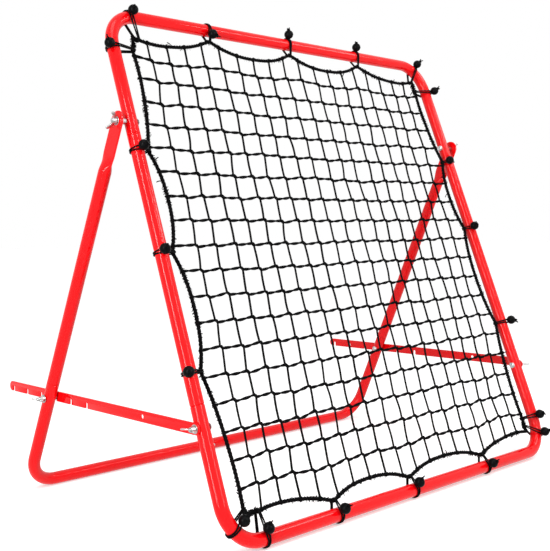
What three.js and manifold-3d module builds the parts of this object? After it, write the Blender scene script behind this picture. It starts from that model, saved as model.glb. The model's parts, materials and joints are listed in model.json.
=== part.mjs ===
// Pitch back rebounder: a leaning square tube frame with a ball net hung in it on elastic ball ties,
// held up by a folding rear stand and two notched brace bars.
//
// X runs across the frame, Y runs from the front to the rear stand, Z is up. Millimetres.
// The frame and the stand are built in groups of their own, each in a flat local X-Z plane, and
// leaned about X. The finished group is set with the middle of its underside at the origin.

import * as THREE from 'three';
import { mergeVertices } from 'three/addons/utils/BufferGeometryUtils.js';
import Module from 'manifold-3d';

const wasm = await Module();
wasm.setup();

const { degToRad } = THREE.MathUtils;
const TOUCHING_GAP = 0.3;

// Tube stock
const TUBE_RADIUS = 12.5;
const TUBE_WALL = 1.2;
const BORE_RADIUS = TUBE_RADIUS - TUBE_WALL;
const SPIGOT_RADIUS = BORE_RADIUS - 0.7;
const SPIGOT_BORE_RADIUS = SPIGOT_RADIUS - TUBE_WALL;
const SPIGOT_LENGTH = 60;
const SECTION_SIDES = 10;
const FASTENER_SIDES = 8;
const CORNER_STEPS = 5;

// Front frame: centre lines of the tubes, heights taken along the leaning frame
const FRAME_SPAN = 978;
const FRAME_HALF = FRAME_SPAN / 2;
const FRAME_LEAN = degToRad(19.5);
const FRAME_CORNER_RADIUS = 68;
const UPPER_JOINT = 726;
const LOWER_JOINT = 232;
const TOP_PIVOT = 752;
const BRACE_PIVOT = 195;

// Rear stand: distances down the legs from the top pivot
const LEG_OFFSET = 29.9;
const LEG_X = FRAME_HALF + LEG_OFFSET;
const STAND_REACH = 578;
const LEG_JOINT = 543;
const STUD_DROP = 579;
const STAND_CORNER_RADIUS = 62;
const STAND_JOINT_X = -46;
const SNAP_BUTTON_X = -20;
const TONGUE_HALF_WIDTH = 18.4;
const TONGUE_HALF_THICKNESS = 1.5;
const TONGUE_DROP = 62;
const PRESS_END_DROP = 100;

// Brace bars: distances along the bar from its pivot
const BRACE_HEIGHT = 20;
const BRACE_THICKNESS = 3;
const BRACE_NOTCH_PITCH = 55;
const NOTCHES_BEHIND_STUD = 3;
const NOTCHES_AHEAD_OF_STUD = 2;
const NOTCH_RADIUS = 3.5;
const NOTCH_DEPTH = 11.5;
const BRACE_TAIL = 17;
const BRACE_HOLE_REACH = 143;
const BRACE_HOLE_RADIUS = 4;
const BRACE_SIDE_GAP = 13.45;
const BRACE_SET_START = 19;
const BRACE_SET_END = 43;

// M6 fasteners
const BOLT_RADIUS = 3;
const BOLT_HOLE_RADIUS = 3.5;
const BOLT_HEAD_RADIUS = 6.5;
const BOLT_HEAD_HEIGHT = 4;
const WASHER_RADIUS = 8;
const WASHER_THICKNESS = 1.3;
const WING_HUB_RADIUS = 6;
const WING_HUB_HEIGHT = 8.5;
const WING_REACH = 18;
const WING_HEIGHT = 16;
const WING_THICKNESS = 2.6;

// Snap button that locks the two halves of the stand's bow
const BUTTON_RADIUS = 3;
const BUTTON_FLANGE_RADIUS = 4.4;
const BUTTON_STAND_OUT = 2.6;
const SPRING_LENGTH = 27;
const SPRING_WIDTH = 6;
const SPRING_LEAF = 0.8;

// Net, border rope and ball ties
const NET_CELLS = 19;
const NET_PITCH = 47.6;
const TWINE = 3.6;
const ROPE_WIDTH = 5.4;
const ROPE_INSET_AT_TIE = 24;
const ROPE_INSET_AT_CORNER = 44;
const ROPE_SAG = { top: 52, left: 44, right: 44, bottom: 45 };
const ROPE_SAMPLES = 68;
const TIE_CORD = 2.6;
const TIE_WIDTH = 7;
const TIE_TUBE_RADIUS = 13.4;
const TIE_ROPE_RADIUS = 5.4;
const BALL_RADIUS = 10;
const BALL_REACH = 23.7;

// Where each ball tie sits, from the middle of its side of the frame towards the right or upwards,
// and how many degrees its ball lies round the tube from the front towards the net.
const TIES = {
  top: { along: [-438, -237, 2, 236, 461], ballTurn: [-10, 45, -50, -50, -50] },
  right: { along: [415, 223, 48, -191, -415], ballTurn: [-30, 45, 28, -30, 12] },
  bottom: { along: [-415, -230, -6, 246, 480], ballTurn: [40, 20, 30, 10, 0] },
  left: { along: [415, 207, 12, -202, -462], ballTurn: [-50, -5, -20, -42, 45] },
};

// How each side of the frame is turned from the top side, as seen from the front, and whether its
// own rightward or upward sense then runs with the turned one.
const SIDES = {
  top: { turn: 0, sense: 1 },
  right: { turn: -Math.PI / 2, sense: -1 },
  bottom: { turn: Math.PI, sense: -1 },
  left: { turn: Math.PI / 2, sense: 1 },
};

// Finishes
const FINISH = {
  redPaint: new THREE.MeshStandardMaterial({ color: 0xe8141c, roughness: 0.25, metalness: 0.0 }),
  zinc: new THREE.MeshStandardMaterial({ color: 0xc9ccd0, roughness: 0.3, metalness: 0.9 }),
  netTwine: new THREE.MeshStandardMaterial({ color: 0x101114, roughness: 0.9, metalness: 0.0 }),
  ball: new THREE.MeshStandardMaterial({ color: 0x0c0c0e, roughness: 0.4, metalness: 0.0 }),
};

// Derived places
const CIRCUMSCRIBE = 1 / Math.cos(Math.PI / SECTION_SIDES);
const FRAME_RISE = TIE_TUBE_RADIUS + TIE_CORD;
const topPivotY = TOP_PIVOT * Math.sin(FRAME_LEAN);
const topPivotZ = FRAME_RISE + TOP_PIVOT * Math.cos(FRAME_LEAN);
const LEG_LENGTH = Math.hypot(STAND_REACH - topPivotY, topPivotZ - TUBE_RADIUS);
const STAND_LEAN = Math.atan2(STAND_REACH - topPivotY, topPivotZ - TUBE_RADIUS);
const bracePivotY = BRACE_PIVOT * Math.sin(FRAME_LEAN);
const bracePivotZ = FRAME_RISE + BRACE_PIVOT * Math.cos(FRAME_LEAN);
const studY = topPivotY + STUD_DROP * Math.sin(STAND_LEAN);
const studZ = topPivotZ - STUD_DROP * Math.cos(STAND_LEAN);
const NOTCH_DROP = BRACE_HEIGHT / 2 - NOTCH_DEPTH + NOTCH_RADIUS;
const studDistance = Math.hypot(studY - bracePivotY, studZ - bracePivotZ);
const STUD_REACH = Math.sqrt(studDistance ** 2 - NOTCH_DROP ** 2);
const BRACE_LIFT = Math.atan2(studZ - bracePivotZ, studY - bracePivotY) + Math.atan2(NOTCH_DROP, STUD_REACH);
const BRACE_LENGTH = STUD_REACH + NOTCHES_BEHIND_STUD * BRACE_NOTCH_PITCH + BRACE_TAIL;

// --- Solids ---------------------------------------------------------------------------------------

// A closed geometry as a manifold solid, turned right side out if its faces point inwards.
function solid(geometry) {
  const bare = geometry.index ? geometry.toNonIndexed() : geometry.clone();
  bare.deleteAttribute('normal');
  bare.deleteAttribute('uv');
  const merged = mergeVertices(bare, 1e-4);
  const vertProperties = new Float32Array(merged.attributes.position.array);
  const triangles = Array.from(merged.index.array);
  const kept = [];
  for (let i = 0; i < triangles.length; i += 3) {
    const [a, b, c] = triangles.slice(i, i + 3);
    if (a !== b && b !== c && c !== a) kept.push(a, b, c);
  }
  const point = (i) => new THREE.Vector3().fromArray(vertProperties, 3 * i);
  let volume = 0;
  for (let i = 0; i < kept.length; i += 3) {
    volume += point(kept[i]).dot(point(kept[i + 1]).cross(point(kept[i + 2])));
  }
  if (volume < 0) kept.reverse();
  return new wasm.Manifold(new wasm.Mesh({ numProp: 3, vertProperties, triVerts: Uint32Array.from(kept) }));
}

// A manifold solid as geometry for a mesh.
function geometryOf(body) {
  const mesh = body.getMesh();
  const geometry = new THREE.BufferGeometry();
  const positions = new Float32Array(mesh.numVert * 3);
  for (let v = 0; v < mesh.numVert; v += 1) {
    for (let k = 0; k < 3; k += 1) positions[3 * v + k] = mesh.vertProperties[v * mesh.numProp + k];
  }
  geometry.setAttribute('position', new THREE.BufferAttribute(positions, 3));
  geometry.setIndex(new THREE.BufferAttribute(new Uint32Array(mesh.triVerts), 1));
  return geometry;
}

function part(name, body, material) {
  const mesh = new THREE.Mesh(geometryOf(body), material);
  mesh.name = name;
  return mesh;
}

// A turned solid about the X axis, from [along, radius] pairs. A profile that doesn't start and end
// on the axis is a ring, and closes on itself.
function turnedAlongX(profile) {
  const points = profile.map(([along, radius]) => new THREE.Vector2(radius, along));
  const onAxis = points[0].x === 0 && points.at(-1).x === 0;
  if (!onAxis) points.push(points[0].clone());
  const geometry = new THREE.LatheGeometry(points, FASTENER_SIDES);
  geometry.rotateZ(-Math.PI / 2);
  return geometry;
}

// A turned solid about the Z axis, with its flats a given angle round from +Y towards +Z.
function turnedAlongZ(profile, turn = 0) {
  const points = profile.map(([along, radius]) => new THREE.Vector2(radius * CIRCUMSCRIBE, along));
  const onAxis = points[0].x === 0 && points.at(-1).x === 0;
  if (!onAxis) points.push(points[0].clone());
  const geometry = new THREE.LatheGeometry(points, SECTION_SIDES, turn);
  geometry.rotateX(Math.PI / 2);
  return geometry;
}

function pinAlongX(radius, from, to, y, z) {
  const geometry = new THREE.CylinderGeometry(radius, radius, to - from, FASTENER_SIDES);
  geometry.rotateZ(Math.PI / 2);
  geometry.translate((from + to) / 2, y, z);
  return solid(geometry);
}

// --- Bent tubes -----------------------------------------------------------------------------------

// A path in the X-Z plane with its own stations, so that bends are finely divided and straight
// stretches aren't. The section keeps one side towards +Y all the way.
class BentTubePath extends THREE.Curve {
  constructor(corners, bendRadius) {
    super();
    this.stations = [{ point: corners[0], tangent: corners[1].clone().sub(corners[0]).normalize() }];
    for (let i = 1; i < corners.length - 1; i += 1) this.addBend(corners, i, bendRadius);
    const last = corners.at(-1);
    this.stations.push({ point: last, tangent: last.clone().sub(corners.at(-2)).normalize() });
  }

  addBend(corners, i, bendRadius) {
    const incoming = corners[i].clone().sub(corners[i - 1]).normalize();
    const outgoing = corners[i + 1].clone().sub(corners[i]).normalize();
    const turn = incoming.angleTo(outgoing);
    const inward = outgoing.clone().sub(incoming).normalize();
    const centre = corners[i].clone().addScaledVector(inward, bendRadius / Math.cos(turn / 2));
    const axis = incoming.clone().cross(outgoing).normalize();
    for (let step = 0; step <= CORNER_STEPS; step += 1) {
      const angle = (turn * step) / CORNER_STEPS;
      const tangent = incoming.clone().applyAxisAngle(axis, angle);
      const outwards = tangent.clone().cross(axis);
      this.stations.push({ point: centre.clone().addScaledVector(outwards, bendRadius), tangent });
    }
  }

  get steps() {
    return this.stations.length - 1;
  }

  stationAt(u) {
    return this.stations[Math.round(u * this.steps)];
  }

  getPointAt(u, target = new THREE.Vector3()) {
    return target.copy(this.stationAt(u).point);
  }

  getPoint(u, target) {
    return this.getPointAt(u, target);
  }

  getTangentAt(u, target = new THREE.Vector3()) {
    return target.copy(this.stationAt(u).tangent);
  }

  computeFrenetFrames() {
    const tangents = this.stations.map((station) => station.tangent);
    const normals = tangents.map(() => new THREE.Vector3(0, 1, 0));
    const binormals = tangents.map((tangent) => tangent.clone().cross(normals[0]));
    return { tangents, normals, binormals };
  }
}

// A round tube section as a polygon round its circle, with one flat facing the given angle.
function tubeSection(outerRadius, boreRadius, flatAngle) {
  const ring = (radius) => {
    const points = [];
    for (let i = 0; i < SECTION_SIDES; i += 1) {
      const angle = flatAngle + ((i + 0.5) * 2 * Math.PI) / SECTION_SIDES;
      const reach = radius * CIRCUMSCRIBE;
      points.push(new THREE.Vector2(reach * Math.cos(angle), reach * Math.sin(angle)));
    }
    return points;
  };
  const section = new THREE.Shape(ring(outerRadius));
  section.holes.push(new THREE.Path(ring(boreRadius)));
  return section;
}

function bentTube(corners, bendRadius, flatAngle, outerRadius = TUBE_RADIUS, boreRadius = BORE_RADIUS) {
  const path = new BentTubePath(corners.map(([x, z]) => new THREE.Vector3(x, 0, z)), bendRadius);
  const section = tubeSection(outerRadius, boreRadius, flatAngle);
  return solid(new THREE.ExtrudeGeometry(section, { steps: path.steps, extrudePath: path }));
}

// The flat of a tube that lies on the ground is square to the ground in the leaned group.
const FRAME_FLAT = FRAME_LEAN - Math.PI / 2;
const STAND_FLAT = -STAND_LEAN - Math.PI / 2;
// A turned tube's first corner lies at +X, half a side from a flat there.
const latheTurn = (flatAngle) => flatAngle + Math.PI / SECTION_SIDES;

// --- Front frame ----------------------------------------------------------------------------------

function bow(jointHeight, barHeight, pivotHeight) {
  const corners = [
    [-FRAME_HALF, jointHeight],
    [-FRAME_HALF, barHeight],
    [FRAME_HALF, barHeight],
    [FRAME_HALF, jointHeight],
  ];
  const tube = bentTube(corners, FRAME_CORNER_RADIUS, FRAME_FLAT);
  const reach = FRAME_HALF + 2 * TUBE_RADIUS;
  return tube.subtract(pinAlongX(BOLT_HOLE_RADIUS, -reach, reach, 0, pivotHeight));
}

// Straight tube with a drawn-down spigot at each end, entering the bows.
function sideTube() {
  const bottom = LOWER_JOINT + TOUCHING_GAP;
  const top = UPPER_JOINT - TOUCHING_GAP;
  const neck = 2;
  const profile = [
    [bottom - SPIGOT_LENGTH, SPIGOT_RADIUS],
    [bottom, SPIGOT_RADIUS],
    [bottom + neck / 4, TUBE_RADIUS - 0.5],
    [bottom + neck / 2, TUBE_RADIUS],
    [top - neck / 2, TUBE_RADIUS],
    [top - neck / 4, TUBE_RADIUS - 0.5],
    [top, SPIGOT_RADIUS],
    [top + SPIGOT_LENGTH, SPIGOT_RADIUS],
    [top + SPIGOT_LENGTH, SPIGOT_BORE_RADIUS],
    [top, SPIGOT_BORE_RADIUS],
    [top - 4 * neck, BORE_RADIUS],
    [bottom + 4 * neck, BORE_RADIUS],
    [bottom, SPIGOT_BORE_RADIUS],
    [bottom - SPIGOT_LENGTH, SPIGOT_BORE_RADIUS],
  ];
  const tube = solid(turnedAlongZ(profile, latheTurn(FRAME_FLAT)));
  const reach = 2 * TUBE_RADIUS;
  return tube
    .subtract(pinAlongX(BOLT_HOLE_RADIUS, -reach, reach, 0, TOP_PIVOT))
    .subtract(pinAlongX(BOLT_HOLE_RADIUS, -reach, reach, 0, BRACE_PIVOT));
}

// --- Rear stand -----------------------------------------------------------------------------------

// Presses a turned tube about Z flat towards its top: round below the press, a thin tongue above it,
// rounded off at the end. The girth stays as it was, so the tongue is wider than the tube.
function pressFlat(geometry, halfWidth, halfThickness, roundEnd) {
  const position = geometry.attributes.position;
  for (let i = 0; i < position.count; i += 1) {
    const x = position.getX(i);
    const y = position.getY(i);
    const z = position.getZ(i);
    const press = THREE.MathUtils.smoothstep(z, -PRESS_END_DROP, -TONGUE_DROP);
    const radius = Math.hypot(x, y);
    if (press === 0 || radius === 0) continue;
    const across = x / radius;
    const girth = (2 / Math.PI) * Math.asin(THREE.MathUtils.clamp(y / radius, -1, 1));
    const ending = roundEnd && z > 0 ? Math.sqrt(Math.max(0.03, 1 - (z / halfWidth) ** 2)) : 1;
    const flatX = halfThickness * THREE.MathUtils.clamp(3 * across, -1, 1);
    const flatY = halfWidth * girth * ending;
    position.setX(i, THREE.MathUtils.lerp(x, flatX, press));
    position.setY(i, THREE.MathUtils.lerp(y, flatY, press));
  }
  return geometry;
}

function standLeg() {
  const joint = -LEG_JOINT + TOUCHING_GAP;
  const end = joint - SPIGOT_LENGTH;
  const pressRings = [-PRESS_END_DROP, -91, -81, -71, -TONGUE_DROP];
  const endRings = [0, 0.5, 0.85, 1].map((share) => share * TONGUE_HALF_WIDTH);
  const outer = [
    [end, 0],
    [end, SPIGOT_RADIUS],
    [joint, SPIGOT_RADIUS],
    [joint + 0.5, TUBE_RADIUS - 0.5],
    [joint + 1, TUBE_RADIUS],
    ...pressRings.map((z) => [z, TUBE_RADIUS]),
    ...endRings.map((z) => [z, TUBE_RADIUS]),
    [TONGUE_HALF_WIDTH, 0],
  ];
  const bore = [
    [end - 1, 0],
    [end - 1, SPIGOT_BORE_RADIUS],
    [joint, SPIGOT_BORE_RADIUS],
    [joint + 8, BORE_RADIUS],
    ...pressRings.slice(0, -1).map((z) => [z, BORE_RADIUS]),
    [pressRings.at(-2), 0],
  ];
  const turn = latheTurn(STAND_FLAT);
  const skin = solid(pressFlat(turnedAlongZ(outer, turn), TONGUE_HALF_WIDTH, TONGUE_HALF_THICKNESS, true));
  const hollow = solid(pressFlat(turnedAlongZ(bore, turn), TONGUE_HALF_WIDTH - TUBE_WALL, 0.2, false));
  const reach = 2 * TUBE_RADIUS;
  return skin
    .subtract(hollow)
    .subtract(pinAlongX(BOLT_HOLE_RADIUS, -reach, reach, 0, 0))
    .subtract(pinAlongX(BOLT_HOLE_RADIUS, -reach, reach, 0, -STUD_DROP));
}

// Turns what is made upright about the stand bow's bar so that its +Y end faces straight forwards.
function setForwards(geometry) {
  geometry.rotateX(Math.PI - STAND_LEAN);
  geometry.translate(SNAP_BUTTON_X, 0, -LEG_LENGTH);
  return solid(geometry);
}

function snapButtonHole() {
  const radius = BUTTON_RADIUS + 0.5;
  const drill = new THREE.CylinderGeometry(radius, radius, 2 * TUBE_RADIUS, FASTENER_SIDES);
  return setForwards(drill.translate(0, TUBE_RADIUS + 2, 0));
}

// The left half of the stand's bow carries the inner sleeve that the right half slides over.
function standBowLeft() {
  const end = STAND_JOINT_X - TOUCHING_GAP;
  const corners = [[-LEG_X, -LEG_JOINT], [-LEG_X, -LEG_LENGTH], [end, -LEG_LENGTH]];
  const tube = bentTube(corners, STAND_CORNER_RADIUS, STAND_FLAT);
  const seat = [[end - 20, -LEG_LENGTH], [end + 0.01, -LEG_LENGTH]];
  const fixed = bentTube(seat, 0, STAND_FLAT, BORE_RADIUS + 0.5, SPIGOT_BORE_RADIUS);
  const sleeve = [[end - 10, -LEG_LENGTH], [end + SPIGOT_LENGTH, -LEG_LENGTH]];
  const free = bentTube(sleeve, 0, STAND_FLAT, SPIGOT_RADIUS, SPIGOT_BORE_RADIUS);
  const reach = LEG_X + 2 * TUBE_RADIUS;
  return tube
    .add(fixed)
    .add(free)
    .subtract(pinAlongX(BOLT_HOLE_RADIUS, -reach, -reach + 4 * TUBE_RADIUS, 0, -STUD_DROP))
    .subtract(snapButtonHole());
}

function standBowRight() {
  const corners = [[STAND_JOINT_X, -LEG_LENGTH], [LEG_X, -LEG_LENGTH], [LEG_X, -LEG_JOINT]];
  const reach = LEG_X + 2 * TUBE_RADIUS;
  return bentTube(corners, STAND_CORNER_RADIUS, STAND_FLAT)
    .subtract(pinAlongX(BOLT_HOLE_RADIUS, reach - 4 * TUBE_RADIUS, reach, 0, -STUD_DROP))
    .subtract(snapButtonHole());
}

// Domed button with a flange, on the end of the folded leaf spring that pushes it out through both
// tubes. The leaf's lower arm stands clear of the far wall by the button's travel.
function snapButton() {
  const tip = TUBE_RADIUS + BUTTON_STAND_OUT;
  const seat = 6.2;
  const profile = [
    [seat - 2, 0],
    [seat - 2, BUTTON_FLANGE_RADIUS],
    [seat, BUTTON_FLANGE_RADIUS],
    [seat, BUTTON_RADIUS],
    [tip - 1.6, BUTTON_RADIUS],
    [tip - 0.5, 0.7 * BUTTON_RADIUS],
    [tip, 0],
  ];
  const pin = turnedAlongX(profile).rotateZ(Math.PI / 2);
  const arm = seat - 1.3;
  const fold = 1.4;
  const leaf = new THREE.Shape();
  leaf.moveTo(-6, arm);
  leaf.lineTo(6, arm);
  leaf.lineTo(SPRING_LENGTH, fold);
  leaf.absarc(SPRING_LENGTH, 0, fold, Math.PI / 2, -Math.PI / 2, true);
  leaf.lineTo(-4, -3.6);
  leaf.lineTo(-4, -3.6 + SPRING_LEAF);
  leaf.lineTo(SPRING_LENGTH, -fold + SPRING_LEAF);
  leaf.absarc(SPRING_LENGTH, 0, fold - SPRING_LEAF, -Math.PI / 2, Math.PI / 2, false);
  leaf.lineTo(6, arm - SPRING_LEAF);
  leaf.lineTo(-6, arm - SPRING_LEAF);
  const depth = SPRING_WIDTH;
  const strip = new THREE.ExtrudeGeometry(leaf, { depth, bevelEnabled: false, curveSegments: 4 });
  strip.translate(0, 0, -SPRING_WIDTH / 2);
  return setForwards(pin).add(setForwards(strip));
}

// --- Braces ---------------------------------------------------------------------------------------

// The bar seen from the side: rounded ends, notches open at the lower edge, the pivot hole and a
// spare hole. Reach runs along +X of the shape from the pivot.
function braceOutline() {
  const half = BRACE_HEIGHT / 2;
  const mouth = 1.2;
  const outline = new THREE.Shape();
  outline.absarc(0, 0, half, Math.PI / 2, 1.5 * Math.PI, false);
  for (let n = -NOTCHES_AHEAD_OF_STUD; n <= NOTCHES_BEHIND_STUD; n += 1) {
    const reach = STUD_REACH + n * BRACE_NOTCH_PITCH;
    outline.lineTo(reach - NOTCH_RADIUS - mouth, -half);
    outline.lineTo(reach - NOTCH_RADIUS, -half + mouth);
    outline.absarc(reach, -NOTCH_DROP, NOTCH_RADIUS, Math.PI, 0, true);
    outline.lineTo(reach + NOTCH_RADIUS, -half + mouth);
    outline.lineTo(reach + NOTCH_RADIUS + mouth, -half);
  }
  outline.absarc(BRACE_LENGTH - half, 0, half, -Math.PI / 2, Math.PI / 2, false);
  const pivotHole = new THREE.Path().absarc(0, 0, BOLT_HOLE_RADIUS, 0, 2 * Math.PI, true);
  const spareHole = new THREE.Path().absarc(BRACE_HOLE_REACH, 0, BRACE_HOLE_RADIUS, 0, 2 * Math.PI, true);
  outline.holes.push(pivotHole, spareHole);
  return outline;
}

// The bar seen from above. Behind the pivot two bends set it outwards by the given amount, so that it
// can pass outside its leg, and it keeps its thickness in between.
function braceStrip(outwardSet) {
  const slope = Math.atan2(outwardSet, BRACE_SET_END - BRACE_SET_START);
  const face = (x, shift) => [
    [x, -BRACE_HEIGHT],
    [x, BRACE_SET_START - shift],
    [x + outwardSet, BRACE_SET_END - shift],
    [x + outwardSet, BRACE_LENGTH + BRACE_HEIGHT],
  ];
  const inner = face(BRACE_SIDE_GAP, 0);
  const outer = face(BRACE_SIDE_GAP + BRACE_THICKNESS, BRACE_THICKNESS * Math.tan(slope / 2));
  return new THREE.Shape([...inner, ...outer.reverse()].map(([x, y]) => new THREE.Vector2(x, y)));
}

// A flat bar running along +Y from its pivot, its thickness along X, outwards positive.
function braceBar(outwardSet) {
  const depth = outwardSet + BRACE_THICKNESS + 4;
  const side = new THREE.ExtrudeGeometry(braceOutline(), { depth, bevelEnabled: false, curveSegments: 4 });
  side.rotateX(Math.PI / 2);
  side.rotateZ(Math.PI / 2);
  side.translate(BRACE_SIDE_GAP - 2, 0, 0);
  const height = BRACE_HEIGHT + 4;
  const plan = new THREE.ExtrudeGeometry(braceStrip(outwardSet), { depth: height, bevelEnabled: false });
  plan.translate(0, 0, -height / 2);
  return solid(side).intersect(solid(plan));
}

// --- Fasteners, all lying along +X with their inner end at the origin --------------------------------

function bolt(length) {
  return solid(
    turnedAlongX([
      [-BOLT_HEAD_HEIGHT, 0],
      [-BOLT_HEAD_HEIGHT + 0.4, 0.5 * BOLT_HEAD_RADIUS],
      [-BOLT_HEAD_HEIGHT / 2, 0.85 * BOLT_HEAD_RADIUS],
      [0, BOLT_HEAD_RADIUS],
      [0, BOLT_RADIUS],
      [length - 1, BOLT_RADIUS],
      [length, BOLT_RADIUS - 0.8],
      [length, 0],
    ]),
  );
}

function sleeve(outerRadius, length) {
  const hole = BOLT_HOLE_RADIUS + 0.1;
  return solid(turnedAlongX([[0, hole], [0, outerRadius], [length, outerRadius], [length, hole]]));
}

function wingNut() {
  const hole = BOLT_HOLE_RADIUS;
  const hub = solid(
    turnedAlongX([
      [0, hole],
      [0, WING_HUB_RADIUS],
      [0.6 * WING_HUB_HEIGHT, 0.8 * WING_HUB_RADIUS],
      [WING_HUB_HEIGHT, 0.76 * WING_HUB_RADIUS],
      [WING_HUB_HEIGHT, hole],
    ]),
  );
  const root = 0.69 * WING_HUB_RADIUS;
  const wing = (side) => {
    const outline = new THREE.Shape();
    outline.moveTo(side * root, 0.8);
    outline.quadraticCurveTo(side * 0.75 * WING_REACH, 1.5, side * WING_REACH, 0.7 * WING_HEIGHT);
    outline.quadraticCurveTo(side * WING_REACH, WING_HEIGHT, side * 0.8 * WING_REACH, WING_HEIGHT);
    outline.quadraticCurveTo(side * 0.5 * WING_REACH, 0.55 * WING_HEIGHT, side * root, 0.9 * WING_HUB_HEIGHT);
    const plate = new THREE.ExtrudeGeometry(outline, {
      depth: WING_THICKNESS,
      bevelEnabled: false,
      curveSegments: 3,
    });
    plate.translate(0, 0, -WING_THICKNESS / 2);
    const [x, y, z] = [0, 1, 2].map((axis) => new THREE.Vector3().setComponent(axis, 1));
    plate.applyMatrix4(new THREE.Matrix4().makeBasis(z, x, y));
    return solid(plate);
  };
  return hub.add(wing(1)).add(wing(-1));
}

// --- Net, border rope and ball ties, flat in the frame's X-Z plane about its middle -----------------

const FRAME_STRAIGHT = FRAME_HALF - FRAME_CORNER_RADIUS;

function turned(side, x, z) {
  return new THREE.Vector2(x, z).rotateAround(new THREE.Vector2(), SIDES[side].turn);
}

// A tie's place on the tube's centre line, and the direction from there into the frame.
function tubePlace(side, along) {
  const x = along * SIDES[side].sense;
  const past = Math.max(0, Math.abs(x) - FRAME_STRAIGHT);
  const bend = Math.sign(x) * Math.asin(past / FRAME_CORNER_RADIUS);
  const straightX = THREE.MathUtils.clamp(x, -FRAME_STRAIGHT, FRAME_STRAIGHT);
  const centreX = straightX + FRAME_CORNER_RADIUS * Math.sin(bend);
  const centreZ = FRAME_STRAIGHT + FRAME_CORNER_RADIUS * Math.cos(bend);
  return { centre: turned(side, centreX, centreZ), inward: turned(side, -Math.sin(bend), -Math.cos(bend)) };
}

// The border rope's line: drawn out to the tube at each middle tie, and sagging in between.
function ropeCurve() {
  const points = [];
  for (const side of Object.keys(SIDES)) {
    const corner = FRAME_HALF - ROPE_INSET_AT_CORNER;
    const stops = TIES[side].along.map((along) => along * SIDES[side].sense).sort((a, b) => a - b);
    const ties = stops.filter((x) => Math.abs(x) < FRAME_STRAIGHT - 2 * BALL_RADIUS);
    const ends = [-corner, ...ties, corner];
    points.push(turned(side, -corner, corner));
    for (let i = 1; i < ends.length; i += 1) {
      points.push(turned(side, (ends[i - 1] + ends[i]) / 2, FRAME_HALF - ROPE_SAG[side]));
      if (i < ends.length - 1) points.push(turned(side, ends[i], FRAME_HALF - ROPE_INSET_AT_TIE));
    }
  }
  return new THREE.CatmullRomCurve3(points.map((p) => new THREE.Vector3(p.x, p.y, 0)), true, 'centripetal');
}

// The rope's line moved inwards by a distance, as an outline that runs anticlockwise.
function ropeOutline(curve, inset) {
  const outline = [];
  for (let i = 0; i < ROPE_SAMPLES; i += 1) {
    const point = curve.getPointAt(i / ROPE_SAMPLES);
    const tangent = curve.getTangentAt(i / ROPE_SAMPLES);
    outline.unshift(new THREE.Vector2(point.x + inset * tangent.y, point.y - inset * tangent.x));
  }
  return outline;
}

// A flat outline as a plate in the frame's plane, with equal thickness to the front and the back.
function plate(shapes, thickness) {
  const geometry = new THREE.ExtrudeGeometry(shapes, { depth: thickness, bevelEnabled: false });
  geometry.translate(0, 0, -thickness / 2);
  geometry.rotateX(Math.PI / 2);
  geometry.translate(0, 0, FRAME_HALF);
  return solid(geometry);
}

function borderRope(curve) {
  const ring = new THREE.Shape(ropeOutline(curve, -ROPE_WIDTH / 2));
  ring.holes.push(new THREE.Path(ropeOutline(curve, ROPE_WIDTH / 2)));
  return plate(ring, ROPE_WIDTH);
}

// How far the rope's line lies from a tie's place on the tube, straight into the frame.
function ropeReach(curve, { centre, inward }) {
  const offsets = ropeOutline(curve, 0).map((point) => point.sub(centre));
  for (let i = 0; i < offsets.length; i += 1) {
    const a = offsets[i];
    const b = offsets[(i + 1) % offsets.length];
    const [before, after] = [a.cross(inward), b.cross(inward)];
    const crossing = a.clone().lerp(b, before / (before - after)).dot(inward);
    if (before * after <= 0 && crossing > 0 && crossing < FRAME_HALF / 2) return crossing;
  }
  return ROPE_INSET_AT_TIE;
}

// Points round two circles on one axis and the straights between them, as a belt would run. The
// first circle is round the tube at zero, the second round the rope. A snug belt stays outside both.
function beltPoints(tubeRadius, ropeRadius, reach, snug) {
  const lean = Math.acos((tubeRadius - ropeRadius) / reach);
  const arc = (middle, radius, from, to, steps) => {
    const size = snug ? radius / Math.cos((to - from) / steps / 2) : radius;
    return Array.from({ length: steps + 1 }, (_, i) => {
      const angle = THREE.MathUtils.lerp(from, to, i / steps);
      return new THREE.Vector2(middle + size * Math.cos(angle), size * Math.sin(angle));
    });
  };
  return [
    ...arc(0, tubeRadius, lean, 2 * Math.PI - lean, 5),
    ...arc(reach, ropeRadius, -lean, lean, 2),
  ];
}

// Moves what is made with X into the frame, Y to the front and Z along the tube to a tie's place.
function toTie(geometry, { centre, inward }) {
  const into = new THREE.Vector3(inward.x, 0, inward.y);
  const front = new THREE.Vector3(0, -1, 0);
  const along = into.clone().cross(front);
  geometry.applyMatrix4(new THREE.Matrix4().makeBasis(into, front, along));
  geometry.translate(centre.x, 0, centre.y + FRAME_HALF);
  return solid(geometry);
}

// An elastic loop round the tube and the rope, fused with the ball that holds its ends.
function ballTie(place, reach, ballTurn) {
  const outer = beltPoints(TIE_TUBE_RADIUS + TIE_CORD, TIE_ROPE_RADIUS + TIE_CORD, reach, false);
  const belt = new THREE.Shape(outer);
  belt.holes.push(new THREE.Path(beltPoints(TIE_TUBE_RADIUS, TIE_ROPE_RADIUS, reach, true)));
  const band = new THREE.ExtrudeGeometry(belt, { depth: TIE_WIDTH, bevelEnabled: false });
  band.translate(0, 0, -TIE_WIDTH / 2);
  const turn = degToRad(ballTurn);
  const ball = new THREE.SphereGeometry(BALL_RADIUS, 8, 4);
  ball.translate(BALL_REACH * Math.sin(turn), BALL_REACH * Math.cos(turn), 0);
  return toTie(band, place).add(toTie(ball, place));
}

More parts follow.
